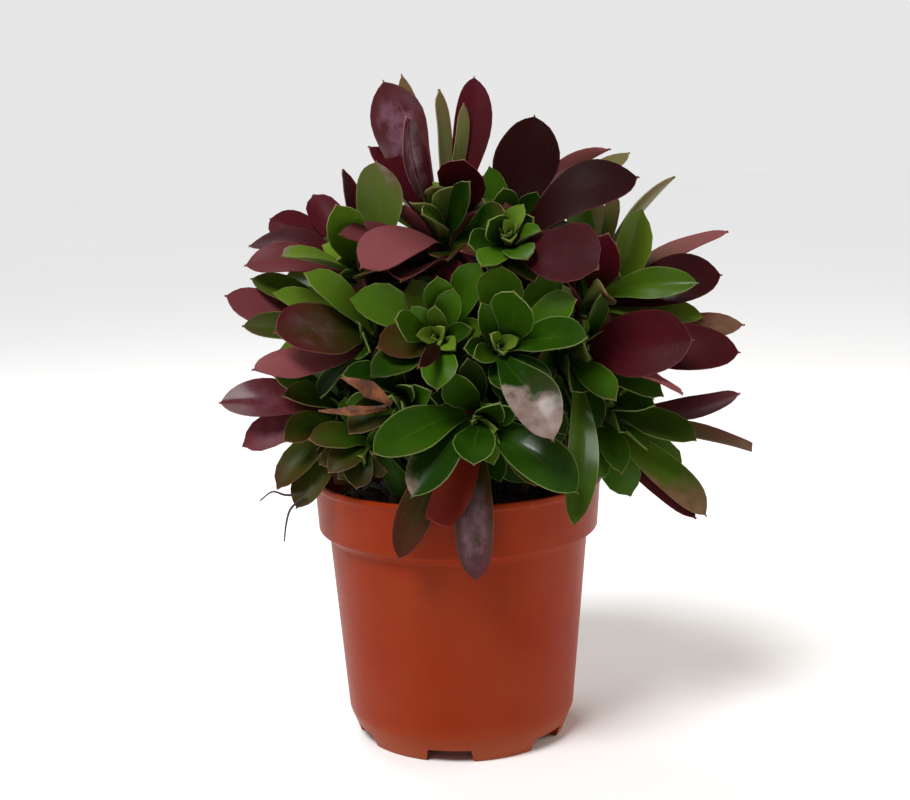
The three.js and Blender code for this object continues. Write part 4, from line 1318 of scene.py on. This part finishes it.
def notch_cutter(angle):
    """A wedge through the foot ring, a little narrower at its top."""
    width = 2 * FOOT_RADIUS * MM * math.tan(math.radians(NOTCH_ANGLE / 2))
    deep = 30 * MM
    tall = NOTCH_HEIGHT * MM * 2
    deselect()
    bpy.ops.mesh.primitive_cube_add(size=1, location=(0, 0, 0), scale=(deep, width, tall))
    cutter = bpy.context.object
    select_where(cutter, lambda place: place.z > 0)
    bpy.ops.transform.resize(value=(1, 0.86, 1), center_override=(0, 0, 0))
    leave_edit()
    turn = Matrix.Rotation(math.radians(angle), 4, "Z")
    reach = (FOOT_RADIUS - 4) * MM + deep / 2
    cutter.matrix_world = turn @ Matrix.Translation((reach, 0, 0)) @ cutter.matrix_world
    modify(cutter, "BEVEL", width=0.5 * MM, segments=2, limit_method="ANGLE")
    return cutter


def drain_cutter(angle):
    """A rod that stands through the floor."""
    deselect()
    middle = (FLOOR_UNDERSIDE + FLOOR_TOP) / 2 * MM
    place = (DRAIN_CIRCLE * MM * math.cos(angle), DRAIN_CIRCLE * MM * math.sin(angle), middle)
    bpy.ops.mesh.primitive_cylinder_add(
        vertices=32, radius=DRAIN_RADIUS * MM, depth=6 * MM, location=place
    )
    return bpy.context.object


class AEONIUM_OT_pot(bpy.types.Operator):
    """Turns the nursery pot and cuts its foot notches and drain holes"""

    bl_idname = "aeonium.pot"
    bl_label = "Pot"

    def execute(self, context):
        settings = context.scene.aeonium_pot
        rim, height = settings.rim_radius, settings.height
        profile = [*pot_underside(), *pot_outside(rim, height), *pot_inside(rim, height)]
        profile.append((0, FLOOR_TOP * MM))
        piece = turned("pot_body", softened(profile, settings.edge_rounding), 144)
        for i in range(NOTCH_COUNT):
            angle = FIRST_NOTCH + i * 360 / NOTCH_COUNT
            cut(piece, notch_cutter(angle))
            cut(piece, drain_cutter(math.radians(angle + 180 / NOTCH_COUNT)))
        finish_piece(piece, pot_finish(settings), replaces=("pot",), angle=35)
        return {"FINISHED"}


def soil_profile():
    """The pot's inside, a little smaller, closed by the soil's crowned top."""
    inside = pot_inside(RIM_RADIUS * MM, POT_HEIGHT * MM)[2:]
    side = [(radius - SOIL_GAP * MM, z) for radius, z in reversed(inside)]
    side[0] = (side[0][0], side[0][1] + SOIL_GAP * MM)
    top = [
        (RIM_RADIUS - 4.4, SOIL_LEVEL - 3),
        (RIM_RADIUS - 8, SOIL_LEVEL - 1.5),
        (30, SOIL_LEVEL + 0.5),
        (14, SOIL_LEVEL),
        (0, SOIL_LEVEL + 1),
    ]
    start = (0, (FLOOR_TOP + SOIL_GAP) * MM)
    return [start, *side, *((radius * MM, height * MM) for radius, height in top)]


class AEONIUM_OT_soil(bpy.types.Operator):
    """Makes the potting soil and strews crumbs on it"""

    bl_idname = "aeonium.soil"
    bl_label = "Soil"

    def execute(self, context):
        settings = context.scene.aeonium_soil
        piece = turned("soil_body", soil_profile(), 64)
        modify(piece, "REMESH", mode="VOXEL", voxel_size=settings.grain)
        top = piece.vertex_groups.new(name="top")
        points = coordinates(piece.data)
        high = np.nonzero(points[:, 2] > (SOIL_LEVEL - 3.5) * MM)[0]
        inner = high[np.hypot(*points[high, :2].T) < (RIM_RADIUS - 6) * MM]
        top.add([int(k) for k in inner], 1.0, "REPLACE")
        lumps = bpy.data.textures.new("lumps", "CLOUDS")
        lumps.noise_scale = 5 * MM
        modify(piece, "DISPLACE", texture=lumps, strength=3.2 * MM, mid_level=0.5, vertex_group="top")
        material = soil_finish(settings)
        finish_piece(piece, material, replaces=("soil",), angle=60)
        self.strew(settings, material)
        return {"FINISHED"}

    def strew(self, settings, material):
        """Crumbs, modelled once and copied, half sunk in the surface."""
        draw = seeded(CRUMB_SEED)
        deselect()
        bpy.ops.mesh.primitive_ico_sphere_add(subdivisions=1, radius=1)
        model = bpy.context.object
        shape = coordinates(model.data) * (1, 0.8, 0.6)
        copies = []
        for _ in range(settings.crumbs):
            radius = (RIM_RADIUS - 9) * MM * next(draw) ** 0.5
            angle = 2 * math.pi * next(draw)
            size = MM * (0.5 + 1.3 * next(draw) ** 2)
            spin = Matrix.Rotation(6 * next(draw), 3, Vector((next(draw), next(draw), 1)))
            copy = model.copy()
            copy.data = model.data.copy()
            bpy.context.collection.objects.link(copy)
            place = (radius * math.cos(angle), radius * math.sin(angle), (SOIL_LEVEL + 0.6) * MM)
            set_coordinates(copy.data, shape * size @ np.array(spin).T + place)
            copies.append(copy)
        remove(model)
        finish_piece(join(copies, "soil_crumbs"), material, angle=60)


# ---------------------------------------------------------------- stems
TRUNK_RINGS = 24
BRANCH_RINGS = 20


class AEONIUM_OT_stems(bpy.types.Operator):
    """Grows the woody stems and their branches"""

    bl_idname = "aeonium.stems"
    bl_label = "Stems"

    def execute(self, context):
        settings = context.scene.aeonium_stem
        material = bark_finish(settings)
        lumps = bpy.data.textures.new("bark", "CLOUDS")
        lumps.noise_scale = 2.5 * MM
        for name, (_, _, radius) in STEMS.items():
            trunk = catmull_rom(trunk_points(name), TRUNK_RINGS)
            thick = radius * np.linspace(1.08, 0.96, TRUNK_RINGS)
            sticks = [tube(name + "_trunk", trunk, thick)]
            for head in HEADS:
                if head.stem == name:
                    branch = bezier(branch_points(head), BRANCH_RINGS)
                    thick = radius * BRANCH_SHARE * np.linspace(1.1, 0.98, BRANCH_RINGS)
                    sticks.append(tube(head.name + "_branch", branch, thick))
            piece = join(sticks, name + "_bark")
            modify(piece, "REMESH", mode="VOXEL", voxel_size=settings.grain)
            modify(piece, "SMOOTH", factor=0.5, iterations=4)
            modify(piece, "DISPLACE", texture=lumps, strength=settings.bark_relief, mid_level=0.5)
            finish_piece(piece, material, replaces=(name,), angle=60)
        return {"FINISHED"}


# ---------------------------------------------------------------- leaves
# The blades: where widest, the stalk's share of the width, how sharp the tip, how many
# columns of faces, and the rows along it.
LONG_ROWS = tuple(1 - (1 - k / 15) ** 1.6 for k in range(16))
BLADES = {
    "short_blade": (0.7, 0.24, 0.55, 4, (0, 0.14, 0.36, 0.56, 0.72, 0.85, 0.93, 0.968, 1)),
    "long_blade": (0.68, 0.22, 0.5, 8, LONG_ROWS),
    "torn_blade": (0.55, 0.8, 0.12, 8, (*LONG_ROWS[:-4], 0.9, 0.94, 0.966)),
    "dead_blade": (0.5, 0.4, 0.9, 4, (0, 0.14, 0.34, 0.54, 0.72, 0.87, 0.965, 1)),
}
BLADE_THICKNESS, EDGE_SHARE = 2.3, 0.22

# How far draws bend a leaf: its twist, curl and sway, how sharply it folds along its rib,
# how high its edge ripples in mm, and the rib's groove.
TWIST, CURL, SWAY = 0.5, 0.09, 0.05
LEAST_FOLD, DRAWN_FOLD, YOUNG_FOLD = 0.05, 0.24, 0.22
RIPPLE = 0.6
RIB_DEPTH, RIB_WIDTH = 0.12, 0.2

# The core's places along the axis from the growing tip, and its radius at each.
CORE_MARKS = ((-CORE_LENGTH, 3.4), (-CORE_LENGTH * 0.55, 4.4), (-9, 3.8), (-3, 1.6), (0, 0.5))
THREAD_RINGS = 12
# Bud leaves: lean and length of the first and what the last has more, and their green.
BUD_LEAN, BUD_OPENING = 6, 16
BUD_LENGTH, BUD_GROWTH = 6, 3.5
BUD_YOUTH, FRONT_BUD_YOUTH = 0.84, 1.0


def smooth_step(x):
    x = min(1.0, max(0.0, x))
    return x * x * (3 - 2 * x)


def blade_outline(s, widest, stalk, point):
    """Half width of a spoon-shaped blade at s, as a share of its greatest half width.

    The higher point is, the sharper the blade's tip, which ends in a small tooth.
    """
    if s < widest:
        return stalk + (1 - stalk) * smooth_step((s - 0.04) / (widest - 0.04))
    blunt = max(0.0, 1 - ((s - widest) / (0.975 - widest)) ** 2.3) ** point
    return max(blunt, 2.2 * (1 - s))


def model_blade(name):
    """A blade lying along +Y from 0 to 1, its edges at X -1 and 1, its thickness in mm.

    The outline is extruded row by row from the stalk's foot, each row is resized to its
    width, and Solidify then thickens it: most on the midrib and in the stalk.
    """
    widest, stalk, point, columns, stations = BLADES[name]
    deselect()
    bpy.ops.mesh.primitive_grid_add(x_subdivisions=columns, y_subdivisions=1, size=2)
    piece = bpy.context.object
    piece.name = name
    first = stations[1]
    edit(piece)
    bpy.ops.transform.resize(value=(1, first / 2, 1), center_override=(0, 0, 0))
    bpy.ops.transform.translate(value=(0, first / 2, 0))
    leave_edit()
    select_where(piece, lambda place: place.y > first / 2)
    for s0, s1 in zip(stations[1:], stations[2:]):
        bpy.ops.mesh.extrude_region_move(TRANSFORM_OT_translate={"value": (0, s1 - s0, 0)})
    leave_edit()
    mesh = piece.data
    points = coordinates(mesh)
    sheet = mesh.uv_layers.active or mesh.uv_layers.new(name="UVMap")
    sheet.name = "UVMap"
    for loop, uv in zip(mesh.loops, sheet.data):
        x, y, _ = points[loop.vertex_index]
        uv.uv = ((x + 1) / 2, y)
    thick = piece.vertex_groups.new(name="thick")
    for vertex, (x, y, _) in zip(mesh.vertices, points):
        body = (1 - x * x) ** 0.8
        share = max(0.0, body * (1 - 0.55 * smooth_step((y - 0.35) / 0.6)))
        thick.add([vertex.index], share, "REPLACE")
    points[:, 0] *= [max(0.02, blade_outline(y, widest, stalk, point)) for y in points[:, 1]]
    set_coordinates(mesh, points)
    modify(
        piece,
        "SOLIDIFY",
        thickness=BLADE_THICKNESS,
        offset=-1,
        vertex_group="thick",
        thickness_vertex_group=EDGE_SHARE,
        use_even_offset=False,
    )
    under = piece.data.attributes.new("under", "FLOAT", "POINT")
    heights = coordinates(piece.data)[:, 2]
    under.data.foreach_set("value", (heights < -0.2).astype(float))
    for extra in LOOKS:
        piece.data.attributes.new(extra, "FLOAT", "POINT")
    return piece


def bent_copy(blade, leaf, draw):
    """A copy of the modelled blade, folded, curled and waved a little, in one leaf's frame."""
    copy = blade.copy()
    copy.data = blade.data.copy()
    bpy.context.collection.objects.link(copy)
    looks = {name: leaf.looks.get(name, 0.0) for name in LOOKS}
    x, y, z = coordinates(copy.data).T
    phase = 6.28 * next(draw)
    twist = TWIST * (next(draw) - 0.5)
    curl = (next(draw) - 0.3) * CURL * leaf.length
    sway = (next(draw) - 0.5) * SWAY * leaf.length
    fold = LEAST_FOLD + DRAWN_FOLD * next(draw) + YOUNG_FOLD * looks["youth"]
    fold *= 1 - 2.4 * looks["rose"]
    y = y + 0.24 * (next(draw) - 0.5) * y * (1 - y)
    half = leaf.wide * 0.5
    wave = leaf.looks.get("wave", 0.0)
    ripple = wave + RIPPLE
    x = x * (1 + (0.03 + 0.05 * wave) * np.sin(11 * y + 2 * phase) * y)
    x = x + 0.35 * np.sin(5 * y + phase) * y * (1 - y)
    lift = z + ripple * np.sin(10 * y + phase + 1.5 * x) * x * x * y
    lift = lift + fold * half * (np.sqrt(x * x + 0.02) - 0.14)
    lift = lift + twist * x * half * y - curl * np.maximum(0, y - 0.6) ** 2 * 6
    lift = lift - RIB_DEPTH * np.exp(-((x / RIB_WIDTH) ** 2)) * (z > -0.3)
    points = leaf.point(y, x, lift) + leaf.side * (sway * np.sin(math.pi * y))[:, None]
    set_coordinates(copy.data, points * MM)
    # A random tone plus the leaf's painted shade, which makes low and inner leaves darker.
    looks["chance"] = next(draw) + leaf.looks.get("shade", 0.0)
    count = len(copy.data.vertices)
    for name, value in looks.items():
        copy.data.attributes[name].data.foreach_set("value", np.full(count, value))
    return copy


def core_rod(head):
    """The fleshy end of the branch, inside the leaves."""
    tip = np.array(head.tip, float)
    axis = unit(head.axis)
    points = [tip + axis * along for along, _ in CORE_MARKS]
    return tube(head.name + "_core", points, [radius for _, radius in CORE_MARKS])


def bud_leaf(head, k, count, draw):
    """One of the tiny leaves that close over the growing tip."""
    axis = unit(head.axis)
    out = turned_out(frame_round(axis), head.turn - 60 - k * GOLDEN_TURN)
    lean = math.radians(BUD_LEAN + BUD_OPENING * k / count)
    along = axis * math.cos(lean) + out * math.sin(lean)
    root = np.array(head.tip, float) - axis * 2.2 + out * (0.5 + 0.2 * k)
    length = BUD_LENGTH + BUD_GROWTH * k / count + next(draw)
    face = axis * math.sin(lean) - out * math.cos(lean)
    youth = FRONT_BUD_YOUTH if head.name == "head_front" else BUD_YOUTH
    return Leaf(root, root + along * length, face, length * 0.5, length * 0.08, youth=youth)


class AEONIUM_OT_heads(bpy.types.Operator):
    """Models three blades, and bends a copy of one to each leaf of every head"""

    bl_idname = "aeonium.heads"
    bl_label = "Leafy heads"

    def execute(self, context):
        settings = context.scene.aeonium_leaf
        names = ("short_blade", "long_blade", "torn_blade")
        short, long, torn = (model_blade(name) for name in names)
        green = leaf_finish("green_leaf_skin", settings, 0.0)
        wine = leaf_finish("burgundy_leaf_skin", settings, 0.1)
        bush = place_leaves(settings.fill_rounds)
        for n, head in enumerate(HEADS):
            draw = seeded(BEND_SEED + BEND_SEED_STEP * n)
            pieces = [core_rod(head)]
            for k in range(settings.bud_leaves):
                pieces.append(bent_copy(short, bud_leaf(head, k, settings.bud_leaves, draw), draw))
            for leaf in bush.placed[head.name]:
                blade = long if leaf.length >= LONG_LEAF else short
                blade = torn if leaf.looks.get("torn") else blade
                pieces.append(bent_copy(blade, leaf, draw))
            dark = head.name in DARK_HEADS
            piece = join(list(reversed(pieces)), head.name + "_leaves")
            finish_piece(
                piece,
                wine if dark else green,
                replaces=(head.name,),
                angle=60,
            )
        pieces = [bent_copy(short, leaf, draw) for leaf in bush.placed[INNER]]
        finish_piece(join(pieces, "inner_leaves"), green, angle=60)
        for blade in (short, long, torn):
            remove(blade)
        return {"FINISHED"}


class AEONIUM_OT_withered(bpy.types.Operator):
    """Hangs the dead leaves and the black thread-like stalks"""

    bl_idname = "aeonium.withered"
    bl_label = "Dead leaves"

    def execute(self, context):
        blade = model_blade("dead_blade")
        draw = seeded(DEAD_SEED)
        pieces = []
        for root, tip, face, wide, arch, wave in WITHERED:
            root, tip, face = (np.array(v, float) for v in (root, tip, face))
            pieces.append(bent_copy(blade, Leaf(root, tip, face, wide, arch, wave=wave), draw))
        remove(blade)
        papery = dry_finish("dead_leaf", *DEAD_LEAF)
        finish_piece(join(pieces, "withered_leaves"), papery, angle=60)
        pieces = []
        for k, points in enumerate(THREADS):
            line = catmull_rom(points, THREAD_RINGS)
            thin = THREAD_RADIUS * np.linspace(1.2, 0.6, THREAD_RINGS)
            pieces.append(tube(f"thread_{k}", line, thin))
        black = dry_finish("black_stalk", *BLACK_STALK)
        finish_piece(join(pieces, "dried_threads"), black, angle=60)
        return {"FINISHED"}


# ---------------------------------------------------------------- stage
SEEN_ROOM = 0.84
WHITE, WARM = (1, 1, 1), (1.0, 0.86, 0.72)
MIDDLE = (0, 0, 0.15)
FLOOR_SIZE = 12
SENSOR_WIDTH = 36
SUN_PLACE = (-0.30, -0.50, 1.0)
SUN_STRENGTH = 2.65
SUN_ANGLE = 22
# Square soft lights: place, what it looks at, size, watts and colour.
SOFT_LIGHTS = {
    "window_light": ((-0.50, -0.55, 0.95), MIDDLE, 0.3, 1.6, WHITE),
    "left_light": ((-0.95, 0.15, 0.25), MIDDLE, 0.8, 2.2, WARM),
    "right_light": ((0.95, 0.10, 0.25), MIDDLE, 0.8, 6, WARM),
    "top_light": ((-0.30, 0.50, 0.95), (0, 0, 0.2), 0.5, 4, WHITE),
}


def hang(light, place, aim):
    """Hangs a light at a place and turns it to a point."""
    lamp = bpy.data.objects.new(light.name, light)
    bpy.context.collection.objects.link(lamp)
    lamp.location = place
    lamp.rotation_euler = (Vector(aim) - Vector(place)).to_track_quat("-Z", "Y").to_euler()


class AEONIUM_OT_stage(bpy.types.Operator):
    """Lays the floor, hangs the lights and sets the camera"""

    bl_idname = "aeonium.stage"
    bl_label = "Stage"

    def execute(self, context):
        settings = context.scene.aeonium_stage
        deselect()
        bpy.ops.mesh.primitive_plane_add(size=FLOOR_SIZE, location=(0, 0, 0))
        floor = bpy.context.object
        floor.name = "floor"
        floor.data.materials.append(floor_finish(settings))
        self.room(context.scene, settings)
        sun = bpy.data.lights.new("ceiling_light", "SUN")
        sun.energy = SUN_STRENGTH
        sun.angle = math.radians(SUN_ANGLE)
        hang(sun, SUN_PLACE, MIDDLE)
        for name, (place, aim, size, watts, colour) in SOFT_LIGHTS.items():
            light = bpy.data.lights.new(name, "AREA")
            light.color = colour
            light.shape = "SQUARE"
            light.size = size
            light.energy = watts
            hang(light, place, aim)
        camera = bpy.data.cameras.new("camera")
        camera.lens = settings.lens
        camera.sensor_width = SENSOR_WIDTH
        holder = bpy.data.objects.new("camera", camera)
        context.collection.objects.link(holder)
        upright = Matrix.Rotation(math.pi / 2 - settings.camera_dip, 4, "X")
        roll = Matrix.Rotation(settings.camera_roll, 4, "Z")
        holder.matrix_world = Matrix.Translation(settings.camera_place) @ upright @ roll
        context.scene.camera = holder
        context.scene.view_settings.view_transform = "Standard"
        return {"FINISHED"}

    def room(self, scene, settings):
        """A pale room, seen bright and lighting the plant more softly."""
        world = scene.world or bpy.data.worlds.new("room")
        scene.world = world
        world.use_nodes = True
        tree = world.node_tree
        tree.nodes.clear()
        seen, glow = (tree.nodes.new("ShaderNodeBackground") for _ in range(2))
        for shade, strength in ((seen, SEEN_ROOM), (glow, settings.room_light)):
            shade.inputs["Color"].default_value = (*settings.floor_colour, 1.0)
            shade.inputs["Strength"].default_value = strength
        path = tree.nodes.new("ShaderNodeLightPath")
        blend = tree.nodes.new("ShaderNodeMixShader")
        end = tree.nodes.new("ShaderNodeOutputWorld")
        tree.links.new(path.outputs["Is Camera Ray"], blend.inputs[0])
        tree.links.new(glow.outputs[0], blend.inputs[1])
        tree.links.new(seen.outputs[0], blend.inputs[2])
        tree.links.new(blend.outputs[0], end.inputs["Surface"])


class AEONIUM_PT_panel(bpy.types.Panel):
    """Lists the operators in the sidebar."""

    bl_label = "Potted aeonium"
    bl_space_type = "VIEW_3D"
    bl_region_type = "UI"
    bl_category = "Aeonium"

    def draw(self, context):
        for operator in OPERATORS:
            self.layout.operator(operator.bl_idname)


OPERATORS = (
    AEONIUM_OT_pot,
    AEONIUM_OT_soil,
    AEONIUM_OT_stems,
    AEONIUM_OT_heads,
    AEONIUM_OT_withered,
    AEONIUM_OT_stage,
)
SETTINGS = {
    "aeonium_pot": PotSettings,
    "aeonium_soil": SoilSettings,
    "aeonium_stem": StemSettings,
    "aeonium_leaf": LeafSettings,
    "aeonium_stage": StageSettings,
}


def register():
    for kind in (*SETTINGS.values(), *OPERATORS, AEONIUM_PT_panel):
        bpy.utils.register_class(kind)
    for name, kind in SETTINGS.items():
        setattr(bpy.types.Scene, name, bpy.props.PointerProperty(type=kind))


def unregister():
    for name in SETTINGS:
        delattr(bpy.types.Scene, name)
    for kind in reversed((*SETTINGS.values(), *OPERATORS, AEONIUM_PT_panel)):
        bpy.utils.unregister_class(kind)


def main():
    register()
    bpy.ops.aeonium.pot()
    bpy.ops.aeonium.soil()
    bpy.ops.aeonium.stems()
    bpy.ops.aeonium.heads()
    bpy.ops.aeonium.withered()
    bpy.ops.aeonium.stage()


if __name__ == "__main__":
    main()
